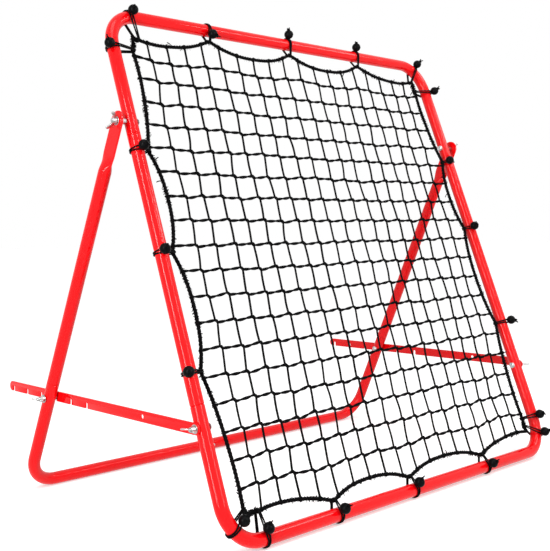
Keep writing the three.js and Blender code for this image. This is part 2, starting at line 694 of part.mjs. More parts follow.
// Room in the net where a tie's loop comes round the rope.
function tieRoom(place, reach) {
  const near = reach + TIE_ROPE_RADIUS - 2 * TOUCHING_GAP;
  const far = reach + TIE_ROPE_RADIUS + TIE_CORD + 2 * TOUCHING_GAP;
  const room = new THREE.BoxGeometry(far - near, 2 * TWINE, TIE_WIDTH + 4 * TOUCHING_GAP);
  return toTie(room.translate((near + far) / 2, 0, 0), place);
}

// The net: square meshes cut out of a plate that reaches the rope, with a selvedge left round it.
function net(curve, rooms) {
  const inset = ROPE_WIDTH / 2 + TOUCHING_GAP;
  const line = (k) => (k - NET_CELLS / 2) * NET_PITCH;
  const cells = [];
  for (let column = 0; column < NET_CELLS; column += 1) {
    for (let row = 0; row < NET_CELLS; row += 1) {
      const grow = (k, sense) => (k === 0 || k === NET_CELLS ? -sense * NET_PITCH : (sense * TWINE) / 2);
      const [left, right] = [line(column) + grow(column, 1), line(column + 1) + grow(column + 1, -1)];
      const [low, high] = [line(row) + grow(row, 1), line(row + 1) + grow(row + 1, -1)];
      const corners = [[left, low], [right, low], [right, high], [left, high]];
      cells.push(new THREE.Shape(corners.map(([x, z]) => new THREE.Vector2(x, z))));
    }
  }
  const sheet = plate(new THREE.Shape(ropeOutline(curve, inset)), TWINE);
  const within = plate(new THREE.Shape(ropeOutline(curve, inset + 0.8 * TWINE)), 2 * TWINE);
  const mesh = sheet.subtract(plate(cells, 2 * TWINE).intersect(within));
  return rooms.reduce((body, room) => body.subtract(room), mesh);
}

// --- Assembly -------------------------------------------------------------------------------------

function group(x, y, z, lean) {
  const placed = new THREE.Group();
  placed.position.set(x, y, z);
  placed.rotation.x = lean;
  return placed;
}

// Puts a fastener made along +X at a distance outwards from the middle of the frame, on either side.
function fasten(parent, name, body, side, out, z = 0, turn = 0) {
  const mesh = part(name, body, FINISH.zinc);
  mesh.position.set(side * out, 0, z);
  mesh.rotation.set(turn, 0, side > 0 ? 0 : Math.PI);
  parent.add(mesh);
}

const SIDE_OF = { left: -1, right: 1 };
const tubeReach = TUBE_RADIUS * CIRCUMSCRIBE + TOUCHING_GAP;

function frontFrame() {
  const frame = group(0, 0, FRAME_RISE, -FRAME_LEAN);
  frame.add(part('top_bow', bow(UPPER_JOINT, FRAME_SPAN, TOP_PIVOT), FINISH.redPaint));
  frame.add(part('bottom_bow', bow(LOWER_JOINT, 0, BRACE_PIVOT), FINISH.redPaint));
  const spacerOut = LEG_OFFSET - TONGUE_HALF_THICKNESS - TOUCHING_GAP;
  const head = FRAME_HALF - tubeReach;
  const spacerIn = FRAME_HALF + tubeReach;
  for (const [label, side] of Object.entries(SIDE_OF)) {
    const tube = part(`side_tube_${label}`, sideTube(), FINISH.redPaint);
    tube.position.x = side * FRAME_HALF;
    frame.add(tube);
    fasten(frame, `top_pivot_bolt_${label}`, bolt(tubeReach + 43), side, head, TOP_PIVOT);
    const spacer = sleeve(WING_HUB_RADIUS, spacerOut - tubeReach);
    fasten(frame, `top_spacer_${label}`, spacer, side, spacerIn, TOP_PIVOT);
    fasten(frame, `brace_bolt_${label}`, bolt(tubeReach + 29), side, head, BRACE_PIVOT);
  }
  const curve = ropeCurve();
  const rooms = [];
  for (const [side, { along, ballTurn }] of Object.entries(TIES)) {
    for (let i = 0; i < along.length; i += 1) {
      const place = tubePlace(side, along[i]);
      const reach = ropeReach(curve, place);
      rooms.push(tieRoom(place, reach));
      frame.add(part(`ball_tie_${side}_${i + 1}`, ballTie(place, reach, ballTurn[i]), FINISH.ball));
    }
  }
  frame.add(part('border_rope', borderRope(curve), FINISH.netTwine));
  frame.add(part('net', net(curve, rooms), FINISH.netTwine));
  return frame;
}

function rearStand() {
  const stand = group(0, topPivotY, topPivotZ, STAND_LEAN);
  stand.add(part('stand_bow_left', standBowLeft(), FINISH.redPaint));
  stand.add(part('stand_bow_right', standBowRight(), FINISH.redPaint));
  stand.add(part('snap_button', snapButton(), FINISH.zinc));
  for (const [label, side] of Object.entries(SIDE_OF)) {
    const leg = part(`stand_leg_${label}`, standLeg(), FINISH.redPaint);
    leg.position.x = side * LEG_X;
    stand.add(leg);
    const tongueFace = LEG_X + TONGUE_HALF_THICKNESS + TOUCHING_GAP;
    const nutFace = tongueFace + WASHER_THICKNESS + TOUCHING_GAP;
    fasten(stand, `top_washer_${label}`, sleeve(WASHER_RADIUS, WASHER_THICKNESS), side, tongueFace);
    fasten(stand, `top_wing_nut_${label}`, wingNut(), side, nutFace, 0, degToRad(12));
  }
  addStud(stand, 'left', BRACE_SIDE_GAP - LEG_OFFSET, tubeReach);
  addStud(stand, 'right', -tubeReach + TOUCHING_GAP, tubeReach + BRACE_THICKNESS + 2 * TOUCHING_GAP);
  return stand;
}

// A brace stud through a leg: its head inside, its washer and wing nut outside, at distances outwards
// from the leg's centre line.
function addStud(stand, label, headOut, washerOut) {
  const side = SIDE_OF[label];
  const head = LEG_X + headOut - TOUCHING_GAP;
  const washer = LEG_X + washerOut;
  const nut = washer + WASHER_THICKNESS + TOUCHING_GAP;
  fasten(stand, `stud_bolt_${label}`, bolt(LEG_X + 29 - head), side, head, -STUD_DROP);
  fasten(stand, `stud_washer_${label}`, sleeve(WASHER_RADIUS, WASHER_THICKNESS), side, washer, -STUD_DROP);
  fasten(stand, `stud_wing_nut_${label}`, wingNut(), side, nut, -STUD_DROP, Math.PI / 2 - STAND_LEAN);
}

const BRACE_SETS = { left: 0, right: LEG_OFFSET + tubeReach - BRACE_SIDE_GAP + TOUCHING_GAP / 2 };

function brace(label) {
  const side = SIDE_OF[label];
  const placed = group(side * FRAME_HALF, bracePivotY, bracePivotZ, BRACE_LIFT);
  const bar = braceBar(BRACE_SETS[label]);
  placed.add(part(`brace_${label}`, side > 0 ? bar : bar.mirror([1, 0, 0]), FINISH.redPaint));
  const washerOut = BRACE_SIDE_GAP + BRACE_THICKNESS + TOUCHING_GAP;
  const nutOut = washerOut + WASHER_THICKNESS + TOUCHING_GAP;
  fasten(placed, `brace_washer_${label}`, sleeve(WASHER_RADIUS, WASHER_THICKNESS), side, washerOut);
  fasten(placed, `brace_wing_nut_${label}`, wingNut(), side, nutOut, 0, Math.PI / 2);
  return placed;
}

const rebounder = new THREE.Group();
rebounder.add(frontFrame(), rearStand(), brace('left'), brace('right'));
rebounder.updateMatrixWorld(true);
const bounds = new THREE.Box3().setFromObject(rebounder, true);
const middle = bounds.getCenter(new THREE.Vector3());
rebounder.position.set(-middle.x, -middle.y, -bounds.min.z);

export default rebounder;
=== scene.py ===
"""A football rebounder: a leaning tube frame with a ball net, a rear stand and two notched braces."""

import json
import logging
import math
import random
from dataclasses import dataclass
from enum import Enum

import bmesh
import bpy
import numpy as np
from mathutils import Matrix, Vector


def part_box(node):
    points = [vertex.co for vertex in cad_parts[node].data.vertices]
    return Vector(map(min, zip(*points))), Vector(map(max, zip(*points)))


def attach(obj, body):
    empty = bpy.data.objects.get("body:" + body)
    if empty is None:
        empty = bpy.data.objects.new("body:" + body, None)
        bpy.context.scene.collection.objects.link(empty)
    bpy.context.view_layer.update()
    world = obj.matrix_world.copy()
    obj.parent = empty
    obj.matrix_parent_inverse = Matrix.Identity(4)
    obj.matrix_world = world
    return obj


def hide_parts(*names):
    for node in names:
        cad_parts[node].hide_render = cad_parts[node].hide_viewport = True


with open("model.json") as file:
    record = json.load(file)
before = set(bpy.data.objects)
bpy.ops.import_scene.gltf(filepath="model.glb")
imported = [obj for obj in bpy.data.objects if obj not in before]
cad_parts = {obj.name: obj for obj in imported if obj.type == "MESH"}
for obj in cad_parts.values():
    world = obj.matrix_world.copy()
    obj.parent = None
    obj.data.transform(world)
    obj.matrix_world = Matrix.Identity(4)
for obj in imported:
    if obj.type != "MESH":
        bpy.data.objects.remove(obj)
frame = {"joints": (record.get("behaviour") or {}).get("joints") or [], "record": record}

LOG = logging.getLogger("rebounder")
FULL_TURN = 2 * math.pi
QUARTER_TURN = math.pi / 2
WELD = 1e-6
MIX_COLOURS = (6, 7)
MIX_RESULT = 2
WHITE = (1, 1, 1, 1)
SEED = 20


class Slot(Enum):
    """The record's material slots."""

    RED = "red_paint"
    ZINC = "zinc"
    TWINE = "net_twine"
    ROPE = "rope"
    TIE = "tie"


class Side(Enum):
    """A side of the frame, with the sense of its X direction."""

    LEFT = -1
    RIGHT = 1

    @property
    def label(self) -> str:
        """The word that the side's nodes end in."""
        return self.name.lower()


# --- Places in the row frame --------------------------------------------------------------------


def body_of(node: str) -> str:
    """The body that a CAD node belongs to.

    Args:
        node: the CAD node.

    Returns:
        The name of its body.
    """
    for body, members in frame["record"]["behaviour"]["bodies"].items():
        if node in members:
            return body
    raise KeyError(node)


def joint_at(name: str) -> Vector:
    """The point that a joint turns about."""
    return next(Vector(j["pos_m"]) for j in frame["joints"] if j["name"] == name)


@dataclass(frozen=True)
class Layout:
    """The local frames of the sub-assemblies. Each has Z up or along its tubes and X to the right."""

    top_height: float = 0.752
    half_span: float = 0.489
    leg_x: float = 0.5189

    @property
    def top_pivot(self) -> Vector:
        """The point between the two top pivots."""
        return joint_at("stand_fold")

    def brace_pivot(self, side: Side) -> Vector:
        """Where a brace turns on the frame."""
        return joint_at(f"brace_{side.label}_lift")

    def stud(self, side: Side) -> Vector:
        """Where a stud passes through its leg."""
        return joint_at(f"stud_wing_nut_{side.label}_turn")

    def tilted(self, origin: Vector, up: Vector) -> Matrix:
        """A frame whose Z runs along up, turned only about the X axis."""
        return Matrix.Translation(origin) @ Matrix.Rotation(math.atan2(-up.y, up.z), 4, "X")

    @property
    def front(self) -> Matrix:
        """The frame's own place, its origin at the middle of the bottom tube.

        Returns:
            The place, its Z up along the side tubes.
        """
        middle = self.brace_pivot(Side.LEFT).lerp(self.brace_pivot(Side.RIGHT), 0.5)
        up = (self.top_pivot - middle).normalized()
        return self.tilted(self.top_pivot - up * self.top_height, up)

    @property
    def stand(self) -> Matrix:
        """The stand's own place, its origin between the top pivots and its legs towards -Z."""
        middle = self.stud(Side.LEFT).lerp(self.stud(Side.RIGHT), 0.5)
        return self.tilted(self.top_pivot, self.top_pivot - middle)

    @property
    def leg_length(self) -> float:
        """From the top pivot to the stand's rear bar along a leg.

        Returns:
            The length in metres.
        """
        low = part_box("stand_bow_left")[0].z
        drop = self.top_pivot.z - low - Tubing().radius
        return drop / abs(self.stand.to_3x3()[2][2])


@dataclass(frozen=True)
class Tubing:
    """The round steel tube that the frame and the stand are bent from."""

    radius: float = 0.0125
    bore: float = 0.0113
    neck: float = 0.0106
    neck_bore: float = 0.0094
    neck_length: float = 0.060
    rim: float = 0.0010
    sides: int = 40
    bend_steps: int = 18


# --- Building helpers -----------------------------------------------------------------------------


def link_mesh(name: str, bm: bmesh.types.BMesh) -> bpy.types.Object:
    """Turns a bmesh into a mesh object of the scene and frees it.

    Args:
        name: the object's name.
        bm: the mesh.

    Returns:
        The object, at the origin.
    """
    mesh = bpy.data.meshes.new(name)
    bm.to_mesh(mesh)
    bm.free()
    obj = bpy.data.objects.new(name, mesh)
    bpy.context.scene.collection.objects.link(obj)
    return obj


def finish_mesh(name: str, bm: bmesh.types.BMesh, place: Matrix, smooth_below: float) -> bpy.types.Object:
    """Closes a bmesh's seams, puts it in its place and makes it an object.

    Args:
        name: the object's name.
        bm: the mesh, in local metres. It is freed.
        place: the local frame.
        smooth_below: edges flatter than this angle in degrees are shaded smooth.

    Returns:
        The object, at the origin.
    """
    bmesh.ops.remove_doubles(bm, verts=bm.verts, dist=WELD)
    bmesh.ops.recalc_face_normals(bm, faces=bm.faces)
    bm.transform(place)
    if place.determinant() < 0:
        bmesh.ops.reverse_faces(bm, faces=bm.faces)
    limit = math.radians(smooth_below)
    for face in bm.faces:
        face.smooth = True
    for edge in bm.edges:
        edge.smooth = len(edge.link_faces) == 2 and edge.calc_face_angle(0.0) < limit
    return link_mesh(name, bm)


def finish_piece(
    node: str,
    bm: bmesh.types.BMesh,
    place: Matrix,
    material: bpy.types.Material,
    smooth_below: float = 40.0,
) -> bpy.types.Object:
    """Makes a bmesh the piece that stands for a CAD node: dresses it, hands it to its body and says so.

    Args:
        node: the CAD node. The piece takes its name from it.
        bm: the mesh, in local metres. It is freed.
        place: the local frame.
        material: its finish.
        smooth_below: edges flatter than this angle in degrees are shaded smooth.

    Returns:
        The piece.
    """
    obj = finish_mesh("".join(word.title() for word in node.split("_")), bm, place, smooth_below)
    obj.data.materials.append(material)
    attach(obj, body_of(node))
    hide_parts(node)
    LOG.info("%s: %d faces, for %s", obj.name, len(obj.data.polygons), node)
    return obj


def lathe(profile: list[tuple[float, float]], sides: int, closed: bool = True) -> bmesh.types.BMesh:
    """Spins a profile of (radius, height) points about Z into a closed skin.

    Args:
        profile: the points in order. A closed profile is a ring section, an open one runs pole to pole.
        sides: the steps of the full turn.
        closed: whether the last point joins the first.

    Returns:
        The mesh.
    """
    bm = bmesh.new()
    points = [bm.verts.new((radius, 0, height)) for radius, height in profile]
    pairs = list(zip(points, points[1:] + points[:1]))
    edges = [bm.edges.new(pair) for pair in (pairs if closed else pairs[:-1])]
    bmesh.ops.spin(
        bm,
        geom=points + edges,
        cent=(0, 0, 0),
        axis=(0, 0, 1),
        angle=FULL_TURN,
        steps=sides,
        use_merge=True,
    )
    bmesh.ops.remove_doubles(bm, verts=bm.verts, dist=WELD)
    bmesh.ops.recalc_face_normals(bm, faces=bm.faces)
    return bm


class TubeRun:
    """One skin of a bent tube, grown ring by ring. Z of its place runs along the tube."""

    def __init__(self, bm: bmesh.types.BMesh, place: Matrix, radius: float, sides: int) -> None:
        """Starts the skin with an open ring.

        Args:
            bm: the mesh to grow in.
            place: the start of the run.
            radius: the skin's radius.
            sides: the points in a ring.
        """
        self.bm = bm
        self.place = place.copy()
        self.radius = radius
        made = bmesh.ops.create_circle(bm, cap_ends=False, segments=sides, radius=radius, matrix=place)
        self.ring = list({edge for vert in made["verts"] for edge in vert.link_edges})
        self.first = list(self.ring)

    def straight(self, length: float, radius: float | None = None) -> None:
        """Grows the skin along its place, to another radius if one is given.

        Args:
            length: how far it grows.
            radius: the radius that it ends at, or None to keep its own.
        """
        made = bmesh.ops.extrude_edge_only(self.bm, edges=self.ring)["geom"]
        verts = {item for item in made if isinstance(item, bmesh.types.BMVert)}
        self.ring = [e for e in made if isinstance(e, bmesh.types.BMEdge) and set(e.verts) <= verts]
        self.place = self.place @ Matrix.Translation((0, 0, length))
        bmesh.ops.translate(self.bm, verts=list(verts), vec=self.place.to_3x3() @ Vector((0, 0, length)))
        if radius is not None:
            share = radius / self.radius
            bmesh.ops.scale(self.bm, verts=list(verts), vec=(share,) * 3, space=self.place.inverted())
            self.radius = radius

    def bend(self, bend_radius: float, angle: float, steps: int) -> None:
        """Bends the skin towards its own +X through an angle.

        Args:
            bend_radius: from the bend's centre to the tube's own line.
            angle: the turn in radians.
            steps: the rings of the bend.
        """
        centre = self.place @ Vector((bend_radius, 0, 0))
        axis = self.place.to_3x3() @ Vector((0, 1, 0))
        made = bmesh.ops.spin(self.bm, geom=self.ring, cent=centre, axis=axis, angle=angle, steps=steps)
        self.ring = [item for item in made["geom_last"] if isinstance(item, bmesh.types.BMEdge)]
        about = Matrix.Translation(centre) @ Matrix.Rotation(angle, 4, axis) @ Matrix.Translation(-centre)
        self.place = about @ self.place


@dataclass(frozen=True)
class Leg:
    """A straight stretch of a bent tube, and the bend that follows it."""

    length: float
    bend_radius: float = 0.0
    turn: float = 0.0


def bent_tube(start: Matrix, legs: list[Leg], tubing: Tubing) -> bmesh.types.BMesh:
    """A hollow bent tube with eased rims.

    Args:
        start: the place of its first rim, Z along the tube and X towards the inside of its bends.
        legs: its straights and bends in order.
        tubing: the stock.

    Returns:
        The closed mesh.
    """
    bm = bmesh.new()
    outer = TubeRun(bm, start, tubing.radius - tubing.rim, tubing.sides)
    inner = TubeRun(bm, start, tubing.bore, tubing.sides)
    outer.straight(tubing.rim, tubing.radius)
    inner.straight(tubing.rim)
    for i, leg in enumerate(legs):
        ends = (i == 0) + (i == len(legs) - 1)
        for skin in (outer, inner):
            skin.straight(leg.length - ends * tubing.rim)
            if leg.turn:
                skin.bend(leg.bend_radius, leg.turn, tubing.bend_steps)
    outer.straight(tubing.rim, tubing.radius - tubing.rim)
    inner.straight(tubing.rim)
    bmesh.ops.bridge_loops(bm, edges=outer.first + inner.first)
    bmesh.ops.bridge_loops(bm, edges=outer.ring + inner.ring)
    return bm


def curve_mesh(curve: bpy.types.Curve, lines: list[list], cyclic: bool) -> bpy.types.Mesh:
    """Makes a mesh of a curve that runs along lines of points, and removes the curve.

    Args:
        curve: the curve with its thickness set and no points yet.
        lines: its lines, each a list of points in 3-D.
        cyclic: whether the lines close on themselves.

    Returns:
        A mesh that no object uses yet.
    """
    for line in lines:
        spline = curve.splines.new("POLY")
        spline.points.add(len(line) - 1)
        for target, point in zip(spline.points, line):
            target.co = (*point, 1)
        spline.use_cyclic_u = cyclic
    obj = bpy.data.objects.new(curve.name, curve)
    bpy.context.scene.collection.objects.link(obj)
    mesh = bpy.data.meshes.new_from_object(obj.evaluated_get(bpy.context.evaluated_depsgraph_get()))
    bpy.data.objects.remove(obj)
    bpy.data.curves.remove(curve)
    return mesh


def line_tube(points: list[Vector], radius: float, sides: int = 8, cyclic: bool = False) -> bpy.types.Mesh:
    """A round cord along a line, with UVs: metres along it and turns round it.

    Args:
        points: its centre line.
        radius: its radius.
        sides: the points in a ring, an even number from 4.
        cyclic: whether it closes on itself.

    Returns:
        A mesh that no object uses yet.
    """
    curve = bpy.data.curves.new("line", "CURVE")
    curve.dimensions = "3D"
    curve.bevel_depth = radius
    curve.bevel_resolution = (sides - 4) // 2
    curve.use_fill_caps = not cyclic
    mesh = curve_mesh(curve, [points], cyclic)
    closing = points[1:] + points[:1] if cyclic else points[1:]
    length = sum((b - a).length for a, b in zip(points, closing))
    uv = np.empty(len(mesh.uv_layers[0].uv) * 2, np.float32)
    mesh.uv_layers[0].uv.foreach_get("vector", uv)
    uv[0::2] *= length
    mesh.uv_layers[0].uv.foreach_set("vector", uv)
    return mesh


def gather(meshes: list[bpy.types.Mesh], into: bmesh.types.BMesh | None = None) -> bmesh.types.BMesh:
    """Adds meshes to one bmesh and removes them.

    Args:
        meshes: the meshes, which are removed.
        into: the bmesh that takes them, or None for a new one.

    Returns:
        The bmesh.
    """
    bm = into or bmesh.new()
    for mesh in meshes:
        bm.from_mesh(mesh)
        bpy.data.meshes.remove(mesh)
    return bm


def merge(part: bmesh.types.BMesh, into: bmesh.types.BMesh) -> None:
    """Adds one bmesh to another and frees it.

    Args:
        part: the mesh to add.
        into: the mesh that takes it.
    """
    mesh = bpy.data.meshes.new("part")
    part.to_mesh(mesh)
    part.free()
    gather([mesh], into)


def smoothstep(value: float, low: float, high: float) -> float:
    """0 below low, 1 above high and a smooth rise in between."""
    share = min(1.0, max(0.0, (value - low) / (high - low)))
    return share * share * (3 - 2 * share)


# --- Shader helpers -------------------------------------------------------------------------------


class Shader:
    """A material's node tree with short ways to add and join nodes."""

    def __init__(self, tree: bpy.types.NodeTree) -> None:
        """Wraps a node tree."""
        self.tree = tree

    def node(self, kind: str, **sockets: object) -> bpy.types.Node:
        """Adds a node. Names in lower case are its properties, others its sockets, with _ for a space.

        Args:
            kind: the node's type.
            sockets: values or output sockets for it.

        Returns:
            The node.
        """
        made = self.tree.nodes.new(kind)
        for name, value in sockets.items():
            if name[0].islower():
                setattr(made, name, value)
            else:
                self.feed(made, name.replace("_", " "), value)
        return made

    def feed(self, node: bpy.types.Node, socket: str | int, value: object) -> None:
        """Sets an input socket to a value, or links it to an output socket.

        Args:
            node: the node.
            socket: the input's name or number.
            value: a plain value or an output socket.
        """
        if isinstance(value, bpy.types.NodeSocket):
            self.tree.links.new(value, node.inputs[socket])
        else:
            node.inputs[socket].default_value = value

    def math(self, operation: str, first: object, second: object = 0.0) -> bpy.types.NodeSocket:
        """The output of a Math node on two values.

        Args:
            operation: the node's operation.
            first: its first value or socket.
            second: its second value or socket.

        Returns:
            The output socket.
        """
        made = self.tree.nodes.new("ShaderNodeMath")
        made.operation = operation
        self.feed(made, 0, first)
        self.feed(made, 1, second)
        return made.outputs[0]

    def spread(
        self, value: object, low: float, high: float, start: float = 0.0, end: float = 1.0
    ) -> bpy.types.NodeSocket:
        """Maps a value from start..end onto low..high, held at both ends.

        Args:
            value: the value or socket to map.
            low: what the start maps onto.
            high: what the end maps onto.
            start: the start of the stretch.
            end: the end of the stretch.

        Returns:
            The output socket.
        """
        made = self.node("ShaderNodeMapRange", Value=value, To_Min=low, To_Max=high)
        made.inputs["From Min"].default_value = start
        made.inputs["From Max"].default_value = end
        return made.outputs["Result"]

    def tint(self, factor: object, first: object, second: object) -> bpy.types.NodeSocket:
        """A colour between two, by a factor.

        Args:
            factor: 0 for the first colour, 1 for the second.
            first: a colour of three values, or a socket.
            second: a colour of three values, or a socket.

        Returns:
            The output socket.
        """
        made = self.tree.nodes.new("ShaderNodeMix")
        made.data_type = "RGBA"
        self.feed(made, "Factor", factor)
        for socket, colour in zip(MIX_COLOURS, (first, second)):
            self.feed(made, socket, (*colour, 1) if isinstance(colour, tuple) else colour)
        return made.outputs[MIX_RESULT]

    def relief(self, principled: bpy.types.Node, height: object, strength: float, depth: float) -> None:
        """Raises the surface by a height through a Bump node."""
        bump = self.node("ShaderNodeBump", Height=height, Strength=strength, Distance=depth)
        self.feed(principled, "Normal", bump.outputs["Normal"])


def new_group(
    name: str, inputs: dict[str, float], outputs: list[str], vector: str
) -> tuple[bpy.types.NodeTree, Shader]:
    """A shader group with a vector input, named value inputs and value outputs.

    Args:
        name: the group's name.
        inputs: its value inputs and their defaults.
        outputs: its value outputs.
        vector: the name of its vector input.

    Returns:
        The group and a wrapper for it.
    """
    tree = bpy.data.node_groups.new(name, "ShaderNodeTree")
    tree.interface.new_socket(name=vector, in_out="INPUT", socket_type="NodeSocketVector")
    for label, value in inputs.items():
        socket = tree.interface.new_socket(name=label, in_out="INPUT", socket_type="NodeSocketFloat")
        socket.default_value = value
    for label in outputs:
        tree.interface.new_socket(name=label, in_out="OUTPUT", socket_type="NodeSocketFloat")
    return tree, Shader(tree)


# The stretch of a noise texture's output that each pattern keeps.
GRAIN_KEEP = (0.3, 0.7)
PATCH_KEEP = (0.52, 0.68)
SCRATCH_KEEP = (0.58, 0.7)
SCRATCH_SCALE = 260.0
SCRATCH_STRETCH = (1.0, 1.0, 7.0)
FIBRE_STRETCH = (2600.0, 9.0, 1.0)
FIBRE_SHARE = 0.35
GROOVE_EDGE = 0.45


def make_grain_group() -> bpy.types.NodeTree:
    """Fine grain over broad mottling, from object coordinates. Both outputs run from 0 to 1.

    Returns:
        The group.
    """
    scales = {"Fine Scale": 900.0, "Broad Scale": 9.0}
    tree, shader = new_group("Grain", scales, ["Fine", "Broad"], "Coordinates")
    entry = shader.node("NodeGroupInput")
    exit_node = shader.node("NodeGroupOutput")
    for label, scale, detail in (("Fine", "Fine Scale", 2.0), ("Broad", "Broad Scale", 4.0)):
        place = entry.outputs["Coordinates"]
        noise = shader.node("ShaderNodeTexNoise", Vector=place, Scale=entry.outputs[scale], Detail=detail)
        shader.feed(exit_node, label, shader.spread(noise.outputs["Fac"], 0.0, 1.0, *GRAIN_KEEP))
    return tree


def make_wear_group() -> bpy.types.NodeTree:
    """Sparse scuffs and rubbed spots, from object coordinates. Both outputs are masks.

    Returns:
        The group.
    """
    tree, shader = new_group("Wear", {"Amount": 0.5, "Scale": 30.0}, ["Scuffs", "Rubbed"], "Coordinates")
    entry = shader.node("NodeGroupInput")
    exit_node = shader.node("NodeGroupOutput")
    stretched = shader.node("ShaderNodeMapping", Vector=entry.outputs["Coordinates"], Scale=SCRATCH_STRETCH)
    patches = shader.node(
        "ShaderNodeTexNoise", Vector=entry.outputs["Coordinates"], Scale=entry.outputs["Scale"], Detail=3.0
    )
    lines = shader.node(
        "ShaderNodeTexNoise", Vector=stretched.outputs["Vector"], Scale=SCRATCH_SCALE, Detail=2.0
    )
    where = shader.spread(patches.outputs["Fac"], 0.0, 1.0, *PATCH_KEEP)
    fine = shader.spread(lines.outputs["Fac"], 0.0, 1.0, *SCRATCH_KEEP)
    scuffs = shader.math("MULTIPLY", shader.math("MULTIPLY", where, fine), entry.outputs["Amount"])
    shader.feed(exit_node, "Scuffs", scuffs)
    shader.feed(exit_node, "Rubbed", shader.math("MULTIPLY", where, entry.outputs["Amount"]))
    return tree


def make_twist_group() -> bpy.types.NodeTree:
    """Fibres laid in a helix, from a cord's UVs. The height and the groove mask run from 0 to 1.

    Returns:
        The group.
    """
    tree, shader = new_group("Twist", {"Pitch": 0.006, "Plies": 3.0}, ["Height", "Groove"], "Cord UV")
    entry = shader.node("NodeGroupInput")
    exit_node = shader.node("NodeGroupOutput")
    apart = shader.node("ShaderNodeSeparateXYZ", Vector=entry.outputs["Cord UV"])
    along = shader.math("DIVIDE", apart.outputs["X"], entry.outputs["Pitch"])
    around = shader.math("MULTIPLY", apart.outputs["Y"], entry.outputs["Plies"])
    phase = shader.math("MULTIPLY", shader.math("ADD", along, around), FULL_TURN)
    wave = shader.math("ABSOLUTE", shader.math("SINE", shader.math("MULTIPLY", phase, 0.5)))
    stretched = shader.node("ShaderNodeMapping", Vector=entry.outputs["Cord UV"], Scale=FIBRE_STRETCH)
    fibre = shader.node("ShaderNodeTexNoise", Vector=stretched.outputs["Vector"], Scale=1.0, Detail=2.0)
    height = shader.math("ADD", wave, shader.math("MULTIPLY", fibre.outputs["Fac"], FIBRE_SHARE))
    shader.feed(exit_node, "Height", height)
    shader.feed(exit_node, "Groove", shader.spread(wave, 1.0, 0.0, 0.0, GROOVE_EDGE))
    return tree


GRAIN = make_grain_group()
WEAR = make_wear_group()
TWIST = make_twist_group()


def new_material(name: str) -> tuple[bpy.types.Material, Shader, bpy.types.Node]:
    """A node material, its wrapper and its Principled shader.

    Args:
        name: the material's name.

    Returns:
        The three of them.
    """
    material = bpy.data.materials.new(name)
    material.use_nodes = True
    shader = Shader(material.node_tree)
    return material, shader, material.node_tree.nodes["Principled BSDF"]


def grouped(
    shader: Shader, tree: bpy.types.NodeTree, coordinates: bpy.types.NodeSocket, **values: float
) -> bpy.types.Node:
    """Adds a shared group with its first input linked and its values set.

    Args:
        shader: the material's nodes.
        tree: the group.
        coordinates: what its first input reads.
        values: its other inputs, with _ for a space.

    Returns:
        The group's node.
    """
    made = shader.tree.nodes.new("ShaderNodeGroup")
    made.node_tree = tree
    shader.tree.links.new(coordinates, made.inputs[0])
    for label, value in values.items():
        made.inputs[label.replace("_", " ")].default_value = value
    return made


@dataclass(frozen=True)
class HardFinish:
    """What the hard finishes share: grain, wear, how rough they are and how deep their relief goes."""

    fine_scale: float
    broad_scale: float
    wear_amount: float
    wear_scale: float
    worn_output: str
    worn_roughness: float
    roughness: float
    dull_roughness: float
    relief: float
    relief_depth: float

    def begin(
        self, name: str
    ) -> tuple[bpy.types.Material, Shader, bpy.types.Node, bpy.types.Node, bpy.types.Node]:
        """Starts a material and joins up its roughness and its relief.

        Args:
            name: the material's name.

        Returns:
            The material, its wrapper, its Principled shader, its grain node and its wear node.
        """
        material, shader, principled = new_material(name)
        place = shader.node("ShaderNodeTexCoord").outputs["Object"]
        grain = grouped(shader, GRAIN, place, Fine_Scale=self.fine_scale, Broad_Scale=self.broad_scale)
        wear = grouped(shader, WEAR, place, Amount=self.wear_amount, Scale=self.wear_scale)
        rough = shader.spread(grain.outputs["Broad"], self.roughness, self.dull_roughness)
        worn = shader.math("MULTIPLY", wear.outputs[self.worn_output], self.worn_roughness)
        shader.feed(principled, "Roughness", shader.math("ADD", rough, worn))
        shader.relief(principled, grain.outputs["Fine"], self.relief, self.relief_depth)
        return material, shader, principled, grain, wear


@dataclass(frozen=True)
class PowderCoat(HardFinish):
    """Glossy red powder coat with a slight orange peel and a few dull scuffs."""

    fine_scale: float = 420.0
    broad_scale: float = 7.0
    wear_amount: float = 0.55
    wear_scale: float = 34.0
    worn_output: str = "Rubbed"
    worn_roughness: float = 0.12
    roughness: float = 0.05
    dull_roughness: float = 0.09
    relief: float = 0.03
    relief_depth: float = 0.0002
    colour: tuple = (0.88, 0.0025, 0.005)
    shade: tuple = (0.78, 0.0018, 0.0036)
    scuffed: tuple = (0.66, 0.012, 0.014)
    specular: float = 0.23

    def build(self, name: str) -> bpy.types.Material:
        """Builds the powder coat.

        Args:
            name: the material's name.

        Returns:
            The material.
        """
        material, shader, principled, grain, wear = self.begin(name)
        paint = shader.tint(grain.outputs["Broad"], self.colour, self.shade)
        shader.feed(principled, "Base Color", shader.tint(wear.outputs["Scuffs"], paint, self.scuffed))
        shader.feed(principled, "Specular IOR Level", self.specular)
        return material


